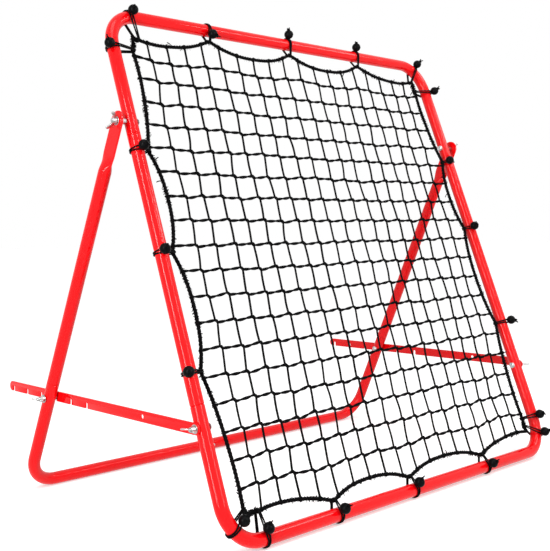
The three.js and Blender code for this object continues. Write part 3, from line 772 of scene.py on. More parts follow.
@dataclass(frozen=True)
class ZincPlate(HardFinish):
    """Bright zinc plate with a faint straw tint, fine turning grain and dull patches."""

    fine_scale: float = 2600.0
    broad_scale: float = 160.0
    wear_amount: float = 0.8
    wear_scale: float = 300.0
    worn_output: str = "Scuffs"
    worn_roughness: float = 0.3
    roughness: float = 0.22
    dull_roughness: float = 0.36
    relief: float = 0.15
    relief_depth: float = 0.0001
    colour: tuple = (0.60, 0.61, 0.63)
    straw: tuple = (0.40, 0.39, 0.36)

    def build(self, name: str) -> bpy.types.Material:
        """Builds the zinc plate.

        Args:
            name: the material's name.

        Returns:
            The material.
        """
        material, shader, principled, grain, _ = self.begin(name)
        shader.feed(principled, "Base Color", shader.tint(grain.outputs["Broad"], self.colour, self.straw))
        shader.feed(principled, "Metallic", 1.0)
        return material


@dataclass(frozen=True)
class GlossPlastic(HardFinish):
    """Moulded black plastic with a soft gloss and faint handling marks."""

    fine_scale: float = 1800.0
    broad_scale: float = 120.0
    wear_amount: float = 0.7
    wear_scale: float = 180.0
    worn_output: str = "Scuffs"
    worn_roughness: float = 0.25
    roughness: float = 0.24
    dull_roughness: float = 0.34
    relief: float = 0.08
    relief_depth: float = 0.0001
    colour: tuple = (0.0022, 0.0022, 0.0026)
    rubbed: tuple = (0.006, 0.006, 0.0068)
    specular: float = 0.05

    def build(self, name: str) -> bpy.types.Material:
        """Builds the plastic.

        Args:
            name: the material's name.

        Returns:
            The material.
        """
        material, shader, principled, _, wear = self.begin(name)
        shader.feed(principled, "Base Color", shader.tint(wear.outputs["Rubbed"], self.colour, self.rubbed))
        shader.feed(principled, "Specular IOR Level", self.specular)
        return material


@dataclass(frozen=True)
class FibreCord:
    """Twisted black cord: plies in a helix, the grooves painted darker as shade and the raised crests
    lighter, partly as painted light and partly as dust in patches.
    """

    colour: tuple = (0.0022, 0.0022, 0.0025)
    # The colour of the ply crests: lighter than the grooves as painted light, and partly as dust.
    raised: tuple = (0.0065, 0.0065, 0.007)
    pitch: float = 0.006
    plies: float = 3.0
    depth: float = 0.0004
    relief: float = 0.8
    roughness: float = 0.85
    groove_gloss: float = 0.15
    specular: float = 0.02
    fine_scale: float = 1400.0
    broad_scale: float = 22.0
    least_dust: float = 0.35

    def build(self, name: str) -> bpy.types.Material:
        """Builds the cord's fibres.

        Args:
            name: the material's name.

        Returns:
            The material.
        """
        material, shader, principled = new_material(name)
        coordinates = shader.node("ShaderNodeTexCoord")
        line = shader.node("ShaderNodeUVMap", uv_map="UVMap").outputs["UV"]
        place = coordinates.outputs["Object"]
        grain = grouped(shader, GRAIN, place, Fine_Scale=self.fine_scale, Broad_Scale=self.broad_scale)
        twist = grouped(shader, TWIST, line, Pitch=self.pitch, Plies=self.plies)
        dust = shader.spread(grain.outputs["Broad"], self.least_dust, 1.0)
        # Painted shade: the base colour follows the twist's height, darker in the grooves and lighter on the
        # crests, and the dust patches vary how strong it is.
        crest_light_and_dust = shader.math("MULTIPLY", twist.outputs["Height"], dust)
        shader.feed(principled, "Base Color", shader.tint(crest_light_and_dust, self.colour, self.raised))
        rough = shader.spread(twist.outputs["Groove"], self.roughness - self.groove_gloss, self.roughness)
        shader.feed(principled, "Roughness", rough)
        shader.feed(principled, "Specular IOR Level", self.specular)
        shader.relief(principled, twist.outputs["Height"], self.relief, self.depth)
        return material


@dataclass(frozen=True)
class Finishes:
    """One of each material, shared by the pieces."""

    red: bpy.types.Material
    zinc: bpy.types.Material
    twine: bpy.types.Material
    rope: bpy.types.Material
    elastic: bpy.types.Material
    ball: bpy.types.Material

    @classmethod
    def make(cls) -> "Finishes":
        """Builds the materials.

        Returns:
            The finishes.
        """
        return cls(
            red=PowderCoat().build("PowderCoatRed"),
            zinc=ZincPlate().build("ZincPlate"),
            twine=FibreCord(pitch=0.0045, plies=2.0, depth=0.0003).build("NetTwine"),
            rope=FibreCord(pitch=0.0040, plies=4.0, depth=0.0003, roughness=0.95).build("RopeFibre"),
            elastic=FibreCord(pitch=0.0022, plies=5.0, depth=0.00015, roughness=0.6).build("ElasticCord"),
            ball=GlossPlastic().build("BallPlastic"),
        )


# --- Front frame ----------------------------------------------------------------------------------


@dataclass(frozen=True)
class FrontFrame:
    """The square tube frame that carries the net."""

    span: float = 0.978
    corner_radius: float = 0.068
    upper_joint: float = 0.726
    lower_joint: float = 0.232
    joint_gap: float = 0.0003

    def bow(self, layout: Layout, tubing: Tubing, joint: float, bar: float) -> bmesh.types.BMesh:
        """A U-shaped bow from the left joint round both corners to the right joint.

        Args:
            layout: the local frames.
            tubing: the stock.
            joint: the height of its two joints.
            bar: the height of its bar.

        Returns:
            The closed mesh.
        """
        upwards = bar > joint
        along = Vector((0, 0, 1 if upwards else -1))
        inwards = Vector((1, 0, 0))
        across = along.cross(inwards)
        basis = Matrix((inwards, across, along)).transposed().to_4x4()
        start = Matrix.Translation((-layout.half_span, 0, joint)) @ basis
        rise = abs(bar - joint) - self.corner_radius
        width = self.span - 2 * self.corner_radius
        legs = [
            Leg(rise, self.corner_radius, QUARTER_TURN),
            Leg(width, self.corner_radius, QUARTER_TURN),
            Leg(rise),
        ]
        return bent_tube(start, legs, tubing)

    def side_tube(self, tubing: Tubing) -> bmesh.types.BMesh:
        """A straight tube with a drawn-down neck at each end.

        Args:
            tubing: the stock.

        Returns:
            The closed mesh.
        """
        low = self.lower_joint + self.joint_gap
        high = self.upper_joint - self.joint_gap
        bottom, top = low - tubing.neck_length, high + tubing.neck_length
        shoulder = [(tubing.neck, 0.0), (tubing.radius - tubing.rim, 0.0), (tubing.radius, tubing.rim)]
        profile = [(tubing.neck - tubing.rim, bottom), (tubing.neck, bottom + tubing.rim)]
        profile += [(radius, low + offset) for radius, offset in shoulder]
        profile += [(radius, high - offset) for radius, offset in reversed(shoulder)]
        profile += [(tubing.neck, top - tubing.rim), (tubing.neck - tubing.rim, top)]
        profile += [(tubing.neck_bore, top), (tubing.neck_bore, bottom)]
        return lathe(profile, tubing.sides)

    def build(self, layout: Layout, finishes: Finishes) -> list[bpy.types.Object]:
        """Builds the four tubes.

        Args:
            layout: the local frames.
            finishes: the materials.

        Returns:
            The pieces.
        """
        tubing = Tubing()
        place = layout.front
        top = self.bow(layout, tubing, self.upper_joint, self.span)
        bottom = self.bow(layout, tubing, self.lower_joint, 0.0)
        made = [
            finish_piece("top_bow", top, place, finishes.red),
            finish_piece("bottom_bow", bottom, place, finishes.red),
        ]
        for side in Side:
            where = place @ Matrix.Translation((side.value * layout.half_span, 0, 0))
            tube = self.side_tube(tubing)
            made.append(finish_piece(f"side_tube_{side.label}", tube, where, finishes.red))
        return made


# --- Rear stand -----------------------------------------------------------------------------------


@dataclass(frozen=True)
class RearStand:
    """Two legs with pressed tongues, and the two halves of the bow that lies on the ground."""

    leg_joint: float = 0.543
    corner_radius: float = 0.062
    joint_x: float = -0.046
    joint_gap: float = 0.0003
    tongue_half_width: float = 0.0184
    tongue_half_thickness: float = 0.0015
    tongue_drop: float = 0.062
    press_end: float = 0.100
    press_rings: int = 26
    end_rings: int = 12
    least_end: float = 0.02
    edge_swell: float = 3.0
    sleeve_overlap: float = 0.030

    def pressed(self, bm: bmesh.types.BMesh) -> None:
        """Presses a turned tube about Z flat towards its top, the girth kept, with a rounded end.

        Args:
            bm: the turned tube.
        """
        for vert in bm.verts:
            press = smoothstep(vert.co.z, -self.press_end, -self.tongue_drop)
            radius = math.hypot(vert.co.x, vert.co.y)
            if press == 0 or radius < WELD:
                continue
            across = vert.co.x / radius
            girth = (2 / math.pi) * math.asin(min(1.0, max(-1.0, vert.co.y / radius)))
            past = max(0.0, vert.co.z) / self.tongue_half_width
            ending = math.sqrt(max(self.least_end, 1 - past * past))
            swell = math.sin(QUARTER_TURN * min(1.0, self.edge_swell * abs(across)))
            flat_x = self.tongue_half_thickness * math.copysign(swell, across)
            flat_y = self.tongue_half_width * girth * ending
            vert.co.x += press * (flat_x - vert.co.x)
            vert.co.y += press * (flat_y - vert.co.y)

    def leg(self, tubing: Tubing) -> bmesh.types.BMesh:
        """A leg from its neck in the bow to its pressed tongue.

        Args:
            tubing: the stock.

        Returns:
            The closed mesh.
        """
        joint = -self.leg_joint + self.joint_gap
        end = joint - tubing.neck_length
        press = [
            -self.press_end + (self.press_end - self.tongue_drop) * i / self.press_rings
            for i in range(self.press_rings + 1)
        ]
        turns = [QUARTER_TURN * i / self.end_rings for i in range(self.end_rings + 1)]
        tip = [self.tongue_half_width * math.sin(turn) for turn in turns]
        profile = [(0.0, end), (tubing.neck - tubing.rim, end), (tubing.neck, end + tubing.rim)]
        profile += [(tubing.neck, joint), (tubing.radius - tubing.rim, joint)]
        profile.append((tubing.radius, joint + tubing.rim))
        profile += [(tubing.radius, height) for height in press + tip]
        profile.append((0.0, self.tongue_half_width))
        bm = lathe(profile, 2 * tubing.sides, closed=False)
        self.pressed(bm)
        return bm

    def bow_half(self, layout: Layout, side: Side, tubing: Tubing) -> bmesh.types.BMesh:
        """Half of the ground bow: down from the leg joint, round the corner and along to the middle joint.

        Args:
            layout: the local frames.
            side: its side. The left half carries the sleeve of the joint.
            tubing: the stock.

        Returns:
            The closed mesh.
        """
        start = Matrix.Translation((side.value * layout.leg_x, 0, -self.leg_joint))
        start = start @ Matrix.Rotation(math.pi, 4, "X")
        if side is Side.RIGHT:
            start = start @ Matrix.Rotation(math.pi, 4, "Z")
        drop = layout.leg_length - self.leg_joint - self.corner_radius
        end = self.joint_x - self.joint_gap if side is Side.LEFT else self.joint_x
        run = abs(side.value * layout.leg_x - end) - self.corner_radius
        bm = bent_tube(start, [Leg(drop, self.corner_radius, QUARTER_TURN), Leg(run)], tubing)
        if side is Side.LEFT:
            sleeve = lathe(
                [
                    (tubing.neck_bore, -self.sleeve_overlap),
                    (tubing.neck, -self.sleeve_overlap),
                    (tubing.neck, tubing.neck_length - tubing.rim),
                    (tubing.neck - tubing.rim, tubing.neck_length),
                    (tubing.neck_bore, tubing.neck_length),
                ],
                tubing.sides,
            )
            seat = Matrix.Translation((end, 0, -layout.leg_length))
            sleeve.transform(seat @ Matrix.Rotation(QUARTER_TURN, 4, "Y"))
            merge(sleeve, bm)
        return bm

    def build(self, layout: Layout, finishes: Finishes) -> list[bpy.types.Object]:
        """Builds both legs and both halves of the bow.

        Args:
            layout: the local frames.
            finishes: the materials.

        Returns:
            The pieces.
        """
        tubing = Tubing()
        made = []
        for side in Side:
            where = layout.stand @ Matrix.Translation((side.value * layout.leg_x, 0, 0))
            leg = self.leg(tubing)
            made.append(finish_piece(f"stand_leg_{side.label}", leg, where, finishes.red))
            half = self.bow_half(layout, side, tubing)
            made.append(finish_piece(f"stand_bow_{side.label}", half, layout.stand, finishes.red))
        return made


# --- Braces ---------------------------------------------------------------------------------------


@dataclass(frozen=True)
class Brace:
    """A flat steel bar with a row of notches, hooked over a stud."""

    height: float = 0.020
    thickness: float = 0.003
    tail: float = 0.017
    side_gap: float = 0.01345
    notch_pitch: float = 0.055
    notch_radius: float = 0.0035
    notch_drop: float = 0.002
    notches_ahead: int = 2
    notches_behind: int = 3
    mouth: float = 0.0012
    spare_hole_reach: float = 0.143
    spare_hole_radius: float = 0.004
    pivot_hole_radius: float = 0.0035
    set_start: float = 0.019
    set_end: float = 0.043
    bend_reach: float = 0.003
    set_steps: int = 24
    eased: float = 0.0004
    eased_steps: int = 2
    end_steps: int = 16
    notch_steps: int = 12
    hole_steps: int = 24
    smooth_below: float = 34.0

    def arc(self, centre: tuple, radius: float, start: float, end: float, steps: int) -> list[tuple]:
        """Points of an arc in the plane of the bar."""
        turns = [start + (end - start) * i / steps for i in range(steps + 1)]
        return [(centre[0] + radius * math.cos(t), centre[1] + radius * math.sin(t)) for t in turns]

    def outline(self, stud_reach: float) -> list[tuple]:
        """The bar seen from the side, as (reach, height) points that run anticlockwise.

        Args:
            stud_reach: from the pivot to the notch that is in use.

        Returns:
            The points.
        """
        half = self.height / 2
        points = self.arc((0, 0), half, QUARTER_TURN, 3 * QUARTER_TURN, self.end_steps)
        for n in range(-self.notches_ahead, self.notches_behind + 1):
            reach = stud_reach + n * self.notch_pitch
            points.append((reach - self.notch_radius - self.mouth, -half))
            points.append((reach - self.notch_radius, -half + self.mouth))
            points += self.arc((reach, -self.notch_drop), self.notch_radius, math.pi, 0, self.notch_steps)
            points.append((reach + self.notch_radius, -half + self.mouth))
            points.append((reach + self.notch_radius + self.mouth, -half))
        end = stud_reach + self.notches_behind * self.notch_pitch + self.tail - half
        points += self.arc((end, 0), half, -QUARTER_TURN, QUARTER_TURN, self.end_steps)
        return points

    def plate(self, stud_reach: float) -> bmesh.types.BMesh:
        """The bar before it is set outwards: X through its thickness, Y along it, Z up.

        Args:
            stud_reach: from the pivot to the notch that is in use.

        Returns:
            The mesh.
        """
        curve = bpy.data.curves.new("bar", "CURVE")
        curve.dimensions = "2D"
        curve.fill_mode = "BOTH"
        curve.extrude = self.thickness / 2 - self.eased
        curve.bevel_depth = self.eased
        curve.bevel_resolution = self.eased_steps
        curve.offset = -self.eased
        bores = (((0, 0), self.pivot_hole_radius), ((self.spare_hole_reach, 0), self.spare_hole_radius))
        holes = [self.arc(centre, radius, 0, FULL_TURN, self.hole_steps)[:-1] for centre, radius in bores]
        rings = [[(reach, rise, 0) for reach, rise in ring] for ring in (self.outline(stud_reach), *holes)]
        bm = gather([curve_mesh(curve, rings, True)])
        bmesh.ops.remove_doubles(bm, verts=bm.verts, dist=WELD)
        bm.transform(Matrix(((0, 0, 1, 0), (1, 0, 0, 0), (0, 1, 0, 0), (0, 0, 0, 1))))
        return bm

    def eased_ramp(self, reach: float) -> float:
        """How far past a bend a point counts, rounded off either side of the bend.

        Args:
            reach: how far past the bend's middle the point lies.

        Returns:
            How far it counts.
        """
        if abs(reach) < self.bend_reach:
            return (reach + self.bend_reach) ** 2 / (4 * self.bend_reach)
        return max(0.0, reach)

    def set_outwards(self, bm: bmesh.types.BMesh, amount: float) -> None:
        """Bends the bar outwards behind its pivot and back again, its thickness kept.

        Args:
            bm: the straight bar.
            amount: how far it is set outwards.
        """
        run = self.set_end - self.set_start
        mitre = self.thickness * math.tan(math.atan2(amount, run) / 2)
        first = self.set_start - mitre - self.bend_reach
        last = self.set_end + self.bend_reach
        for i in range(self.set_steps + 1):
            reach = first + (last - first) * i / self.set_steps
            geom = bm.verts[:] + bm.edges[:] + bm.faces[:]
            bmesh.ops.bisect_plane(bm, geom=geom, plane_co=(0, reach, 0), plane_no=(0, 1, 0), dist=1e-7)
        for vert in bm.verts:
            outer_share = vert.co.x / self.thickness + 0.5
            past = vert.co.y - self.set_start + outer_share * mitre
            vert.co.x += amount / run * (self.eased_ramp(past) - self.eased_ramp(past - run))

    def build(self, layout: Layout, finishes: Finishes) -> list[bpy.types.Object]:
        """Builds both bars, the right one set outwards so that it passes outside its leg.

        Args:
            layout: the local frames.
            finishes: the materials.

        Returns:
            The pieces.
        """
        made = []
        for side in Side:
            pivot, stud = layout.brace_pivot(side), layout.stud(side)
            low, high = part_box(f"brace_{side.label}")
            across = stud - pivot
            reach = math.hypot(across.y, across.z)
            lift = math.atan2(across.z, across.y) + math.asin(self.notch_drop / reach)
            stud_reach = math.sqrt(reach * reach - self.notch_drop**2)
            bm = self.plate(stud_reach)
            outer = max(abs(low.x - pivot.x), abs(high.x - pivot.x))
            amount = outer - self.side_gap - self.thickness
            if amount > self.thickness:
                self.set_outwards(bm, amount)
            place = Matrix.Translation(pivot) @ Matrix.Rotation(lift, 4, "X")
            if side is Side.LEFT:
                place = place @ Matrix.Scale(-1, 4, (1, 0, 0))
            place = place @ Matrix.Translation((self.side_gap + self.thickness / 2, 0, 0))
            made.append(
                finish_piece(f"brace_{side.label}", bm, place, finishes.red, self.smooth_below)
            )
        return made


# --- Fasteners ------------------------------------------------------------------------------------


@dataclass(frozen=True)
class Fasteners:
    """Bolts, washers, spacers and wing nuts, all made along +Z with the inner end at the origin."""

    shank: float = 0.003
    head_radius: float = 0.0065
    head_height: float = 0.004
    head_ease: float = 0.0003
    dome_steps: int = 8
    thread_pitch: float = 0.001
    thread_depth: float = 0.00035
    thread_length: float = 0.016
    tip_chamfer: float = 0.0008
    washer_radius: float = 0.008
    washer_ease: float = 0.0003
    hole: float = 0.0034
    spacer_radius: float = 0.006
    spacer_ease: float = 0.0005
    nut_bore: float = 0.0031
    hub_radius: float = 0.006
    hub_height: float = 0.0085
    hub_ease: float = 0.0004
    bore_ease: float = 0.0005
    wing_reach: float = 0.018
    wing_height: float = 0.016
    wing_thickness: float = 0.0026
    wing_ease: float = 0.0007
    wing_steps: int = 8
    top_nut_turn: float = 12.0
    sides: int = 32
    turned_smooth_below: float = 30.0
    turned_kinds: tuple = (
        "top_pivot_bolt",
        "top_spacer",
        "top_washer",
        "brace_bolt",
        "brace_washer",
        "stud_bolt",
        "stud_washer",
    )

    def bolt(self, length: float) -> bmesh.types.BMesh:
        """A domed bolt with a rolled thread, its head from zero to the head height.

        Args:
            length: its whole length with the head.

        Returns:
            The closed mesh.
        """
        dome = [
            (self.head_radius * math.sin(t), self.head_height * (1 - math.cos(t)))
            for t in (QUARTER_TURN * i / self.dome_steps for i in range(self.dome_steps))
        ]
        profile = dome + [(self.head_radius, self.head_height - self.head_ease)]
        profile += [(self.head_radius - self.head_ease, self.head_height), (self.shank, self.head_height)]
        height = length - self.thread_length
        while height < length - 1.5 * self.thread_pitch:
            profile.append((self.shank, height))
            profile.append((self.shank - self.thread_depth, height + self.thread_pitch / 2))
            height += self.thread_pitch
        profile += [(self.shank, height), (self.shank - self.tip_chamfer, length), (0.0, length)]
        return lathe(profile, self.sides, closed=False)

    def ring(self, radius: float, length: float, eased: float) -> bmesh.types.BMesh:
        """A washer or a spacer with eased edges.

        Args:
            radius: its outer radius.
            length: its thickness or length.
            eased: the width of its eased edges.

        Returns:
            The closed mesh.
        """
        profile = [
            (self.hole, 0.0),
            (radius - eased, 0.0),
            (radius, eased),
            (radius, length - eased),
            (radius - eased, length),
            (self.hole, length),
        ]
        return lathe(profile, self.sides)

    def wing(self, sense: float) -> bmesh.types.BMesh:
        """One wing: a leaf in the X-Z plane, thickened, its edges rounded.

        Args:
            sense: 1 for the wing towards +X, -1 for the other.

        Returns:
            The closed mesh.
        """
        root = 0.62 * self.hub_radius

        def quadratic(a: tuple, b: tuple, c: tuple, steps: int) -> list[tuple]:
            """Points after a up to c on a quadratic curve.

            Args:
                a: the start.
                b: the point that pulls the curve.
                c: the end.
                steps: how many points there are.

            Returns:
                The points.
            """
            shares = [i / steps for i in range(1, steps + 1)]
            return [
                tuple((1 - s) ** 2 * p + 2 * (1 - s) * s * q + s * s * r for p, q, r in zip(a, b, c))
                for s in shares
            ]

        reach, height = self.wing_reach, self.wing_height
        first, second = (root, 0.0008), (reach, 0.7 * height)
        third, fourth = (0.8 * reach, height), (root, 0.9 * self.hub_height)
        outline = [first]
        outline += quadratic(first, (0.75 * reach, 0.0015), second, self.wing_steps)
        outline += quadratic(second, (reach, height), third, self.wing_steps)
        outline += quadratic(third, (0.5 * reach, 0.55 * height), fourth, self.wing_steps)
        bm = bmesh.new()
        verts = [bm.verts.new((sense * x, -self.wing_thickness / 2, z)) for x, z in outline]
        face = bm.faces.new(verts)
        made = bmesh.ops.extrude_face_region(bm, geom=[face])["geom"]
        moved = [item for item in made if isinstance(item, bmesh.types.BMVert)]
        bmesh.ops.translate(bm, verts=moved, vec=(0, self.wing_thickness, 0))
        bmesh.ops.recalc_face_normals(bm, faces=bm.faces)
        rims = [edge for edge in bm.edges if abs(edge.verts[0].co.y - edge.verts[1].co.y) < 1e-7]
        bmesh.ops.bevel(
            bm,
            geom=rims,
            offset=self.wing_ease,
            offset_type="OFFSET",
            segments=3,
            profile=0.5,
            affect="EDGES",
            material=-1,
        )
        return bm

    def wing_nut(self) -> bmesh.types.BMesh:
        """A cast wing nut: a waisted hub with two raised wings along X.

        Returns:
            The mesh.
        """
        hub, top, bore = self.hub_radius, self.hub_height, self.nut_bore
        hub_mesh = lathe(
            [
                (bore, self.hub_ease),
                (bore + self.bore_ease, 0.0),
                (hub - self.hub_ease, 0.0),
                (hub, self.hub_ease),
                (0.97 * hub, 0.25 * top),
                (0.84 * hub, 0.55 * top),
                (0.76 * hub, 0.85 * top),
                (0.73 * hub, top - self.hub_ease),
                (0.67 * hub, top),
                (bore + self.bore_ease, top),
                (bore, top - self.hub_ease),
            ],
            self.sides,
        )
        for sense in (-1, 1):
            merge(self.wing(sense), hub_mesh)
        return hub_mesh

    def outwards(self, node: str, axis_point: Vector, side: Side, turn: float = 0.0) -> tuple[Matrix, float]:
        """Where a node's inner end lies, with Z outwards, and its length.

        Args:
            node: the CAD node.
            axis_point: any point on its axis.
            side: the side that it is on.
            turn: the turn of its X axis about its axis, from straight up.

        Returns:
            The place and the length.
        """
        low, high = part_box(node)
        inner = high.x if side is Side.LEFT else low.x
        spot = Vector((inner, axis_point.y, axis_point.z))
        out = Vector((side.value, 0, 0))
        up = Vector((0, -math.sin(turn), math.cos(turn)))
        basis = Matrix((up, out.cross(up), out)).transposed().to_4x4()
        return Matrix.Translation(spot) @ basis, high.x - low.x

    def build(self, layout: Layout, finishes: Finishes) -> list[bpy.types.Object]:
        """Builds the fasteners of both sides.

        Args:
            layout: the local frames.
            finishes: the materials.

        Returns:
            The pieces.
        """
        made = []
        stand_lean = math.atan2(-layout.stand[1][2], layout.stand[2][2])
        for side in Side:
            points = {"top": layout.top_pivot, "brace": layout.brace_pivot(side), "stud": layout.stud(side)}
            for kind in self.turned_kinds:
                node = f"{kind}_{side.label}"
                place, length = self.outwards(node, points[kind.split("_")[0]], side)
                if kind.endswith("bolt"):
                    bm = self.bolt(length)
                elif kind.endswith("washer"):
                    bm = self.ring(self.washer_radius, length, self.washer_ease)
                else:
                    bm = self.ring(self.spacer_radius, length, self.spacer_ease)
                made.append(
                    finish_piece(node, bm, place, finishes.zinc, self.turned_smooth_below)
                )
            top_turn = stand_lean + math.radians(self.top_nut_turn)
            for kind, turn in (("top", top_turn), ("brace", QUARTER_TURN), ("stud", QUARTER_TURN)):
                node = f"{kind}_wing_nut_{side.label}"
                place, _ = self.outwards(node, points[kind], side, turn)
                made.append(finish_piece(node, self.wing_nut(), place, finishes.zinc))
        return made


@dataclass(frozen=True)
class SnapButton:
    """The spring button that locks the two halves of the stand's bow."""

    radius: float = 0.003
    stand_out: float = 0.0026
    flange_radius: float = 0.0048
    seat: float = 0.0062
    leaf_width: float = 0.007
    leaf_length: float = 0.028
    leaf_thickness: float = 0.0006
    fold: float = 0.0013
    fold_steps: int = 8
    flange_height: float = 0.002
    dome: float = 0.0016
    dome_steps: int = 6
    arm_drop: float = 0.0016
    arm_reach: float = 0.006
    foot: tuple = (-0.004, 0, -0.0033)
    sides: int = 28
    smooth_below: float = 35.0

    def button(self) -> bmesh.types.BMesh:
        """The button with its flange inside the tube and its domed tip outside.

        Returns:
            The closed mesh.
        """
        tip = Tubing().radius + self.stand_out
        flange = self.seat - self.flange_height
        profile = [(0.0, flange), (self.flange_radius, flange), (self.flange_radius, self.seat)]
        profile += [(self.radius, self.seat), (self.radius, tip - self.dome)]
        profile += [
            (self.radius * math.cos(t), tip - self.dome + self.dome * math.sin(t))
            for t in (QUARTER_TURN * i / self.dome_steps for i in range(1, self.dome_steps))
        ]
        profile.append((0.0, tip))
        return lathe(profile, self.sides, closed=False)

    def leaf(self) -> bmesh.types.BMesh:
        """The leaf spring: a strip that runs under the button, folds back and rests on the tube.

        Returns:
            The closed mesh.
        """
        arm = self.seat - self.arm_drop
        line = [Vector((-self.arm_reach, 0, arm)), Vector((self.arm_reach, 0, arm))]
        bend = [QUARTER_TURN - math.pi * i / self.fold_steps for i in range(self.fold_steps + 1)]
        line += [
            Vector((self.leaf_length + self.fold * math.cos(t), 0, self.fold * math.sin(t))) for t in bend
        ]
        line.append(Vector(self.foot))
        bm = bmesh.new()
        verts = [bm.verts.new(point + Vector((0, -self.leaf_width / 2, 0))) for point in line]
        edges = [bm.edges.new(pair) for pair in zip(verts, verts[1:])]
        grown = bmesh.ops.extrude_edge_only(bm, edges=edges)["geom"]
        moved = [item for item in grown if isinstance(item, bmesh.types.BMVert)]
        bmesh.ops.translate(bm, verts=moved, vec=(0, self.leaf_width, 0))
        bmesh.ops.recalc_face_normals(bm, faces=bm.faces)
        bmesh.ops.solidify(bm, geom=bm.faces[:], thickness=self.leaf_thickness)
        return bm

    def build(self, layout: Layout, finishes: Finishes) -> bpy.types.Object:
        """Builds the button, facing forwards, and its folded leaf spring.

        Args:
            layout: the local frames.
            finishes: the materials.

        Returns:
            The piece.
        """
        bm = self.button()
        merge(self.leaf(), bm)
        low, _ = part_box("snap_button")
        rear = layout.stand @ Vector((0, 0, -layout.leg_length))
        forwards = Matrix(((1, 0, 0), (0, 0, -1), (0, 1, 0))).to_4x4()
        place = Matrix.Translation((low.x + self.arm_reach, rear.y, rear.z)) @ forwards
        return finish_piece("snap_button", bm, place, finishes.zinc, self.smooth_below)


# --- Border rope, net and ball ties ---------------------------------------------------------------


@dataclass(frozen=True)
class FrameSide:
    """One side of the frame as the ties see it: where its ties are and how their balls are turned."""

    name: str
    turn: float
    sense: int
    sag: float
    along: tuple
    ball_turn: tuple


SIDES = (
    FrameSide("top", 0.0, 1, 0.052, (-0.438, -0.237, 0.002, 0.236, 0.461), (-10, 45, -50, -50, -50)),
    FrameSide(
        "right", -QUARTER_TURN, -1, 0.044, (0.415, 0.223, 0.048, -0.191, -0.415), (-30, 45, 28, -30, 12)
    ),
    FrameSide("bottom", math.pi, -1, 0.045, (-0.415, -0.230, -0.006, 0.246, 0.480), (40, 20, 30, 10, 0)),
    FrameSide("left", QUARTER_TURN, 1, 0.044, (0.415, 0.207, 0.012, -0.202, -0.462), (-50, -5, -20, -42, 45)),
)


@dataclass(frozen=True)
class TiePlace:
    """A tie's place on the tube's centre line and the direction into the frame, both in its plane."""

    centre: Vector
    inward: Vector


@dataclass(frozen=True)
class RopeLine:
    """The border rope's line in the frame's X-Z plane about its middle, as (x, z) pairs."""

    half: float = 0.489
    straight: float = 0.421
    corner_radius: float = 0.068
    inset_at_tie: float = 0.024
    inset_at_corner: float = 0.044
    corner_sag: float = 0.0025
    hang: float = 2.4
    samples_per_span: int = 40

    def turned(self, side: FrameSide, x: float, z: float) -> Vector:
        """A point of the top side turned onto another side."""
        c, s = math.cos(side.turn), math.sin(side.turn)
        return Vector((x * c - z * s, x * s + z * c))

    def tie_place(self, side: FrameSide, along: float) -> TiePlace:
        """Where a tie sits, on a straight or on a bend of the tube.

        Args:
            side: the side of the frame.
            along: how far along the side the tie sits, from its middle.

        Returns:
            The place.
        """
        x = along * side.sense
        past = max(0.0, abs(x) - self.straight)
        bend = math.copysign(math.asin(past / self.corner_radius), x)
        middle_x = min(self.straight, max(-self.straight, x)) + self.corner_radius * math.sin(bend)
        middle_z = self.straight + self.corner_radius * math.cos(bend)
        inward = self.turned(side, -math.sin(bend), -math.cos(bend))
        return TiePlace(self.turned(side, middle_x, middle_z), inward)

    def anchors(self) -> list[tuple[Vector, float]]:
        """The points that the ties draw the rope out to, each with the inset that its next span sags to.

        Returns:
            The points in order round the frame, each with its inset.
        """
        found = []
        for side in SIDES:
            stops = sorted(x * side.sense for x in side.along)
            for i, x in enumerate(stops):
                at_end = i in (0, len(stops) - 1)
                inset = self.inset_at_corner if at_end else self.inset_at_tie
                x = min(self.half - inset, max(inset - self.half, x)) if at_end else x
                sag = 0.0 if i == len(stops) - 1 else side.sag
                found.append((self.turned(side, x, self.half - inset), sag))
        return found

    def line(self) -> list[Vector]:
        """The closed line, hanging in a shallow curve between one tie and the next.

        Returns:
            The points of the line in order.
        """
        anchors = self.anchors()
        points = []
        for i, (start, sag) in enumerate(anchors):
            end = anchors[(i + 1) % len(anchors)][0]
            middle = start.lerp(end, 0.5)
            inwards = -middle.normalized()
            depth = self.corner_sag
            if sag:
                upright = abs(middle.x) > abs(middle.y)
                inwards = Vector((-middle.x, 0)) if upright else Vector((0, -middle.y))
                inwards.normalize()
                depth = sag - (self.half - max(abs(middle.x), abs(middle.y)))
            for step in range(self.samples_per_span):
                share = step / self.samples_per_span
                hang = 1 - abs(2 * share - 1) ** self.hang
                points.append(start.lerp(end, share) + inwards * (depth * hang))
        return points

    def reach(self, line: list[Vector], place: TiePlace) -> float:
        """How far the rope's line lies from a tie's place, straight into the frame.

        Args:
            line: the rope's line.
            place: the tie's place.

        Returns:
            The distance from the tube's own line.
        """
        best = self.inset_at_tie
        for a, b in zip(line, line[1:] + line[:1]):
            before = (a - place.centre).cross(place.inward)
            after = (b - place.centre).cross(place.inward)
            if before * after > 0 or before == after:
                continue
            share = before / (before - after)
            crossing = (a - place.centre).lerp(b - place.centre, share).dot(place.inward)
            if 0 < crossing < self.half / 2:
                best = crossing
        return best


def in_plane(point: Vector, depth: float = 0.0) -> Vector:
    """A point of the net's plane about the middle of the frame, as a point in the frame's own place."""
    return Vector((point.x, depth, point.y + RopeLine().half))


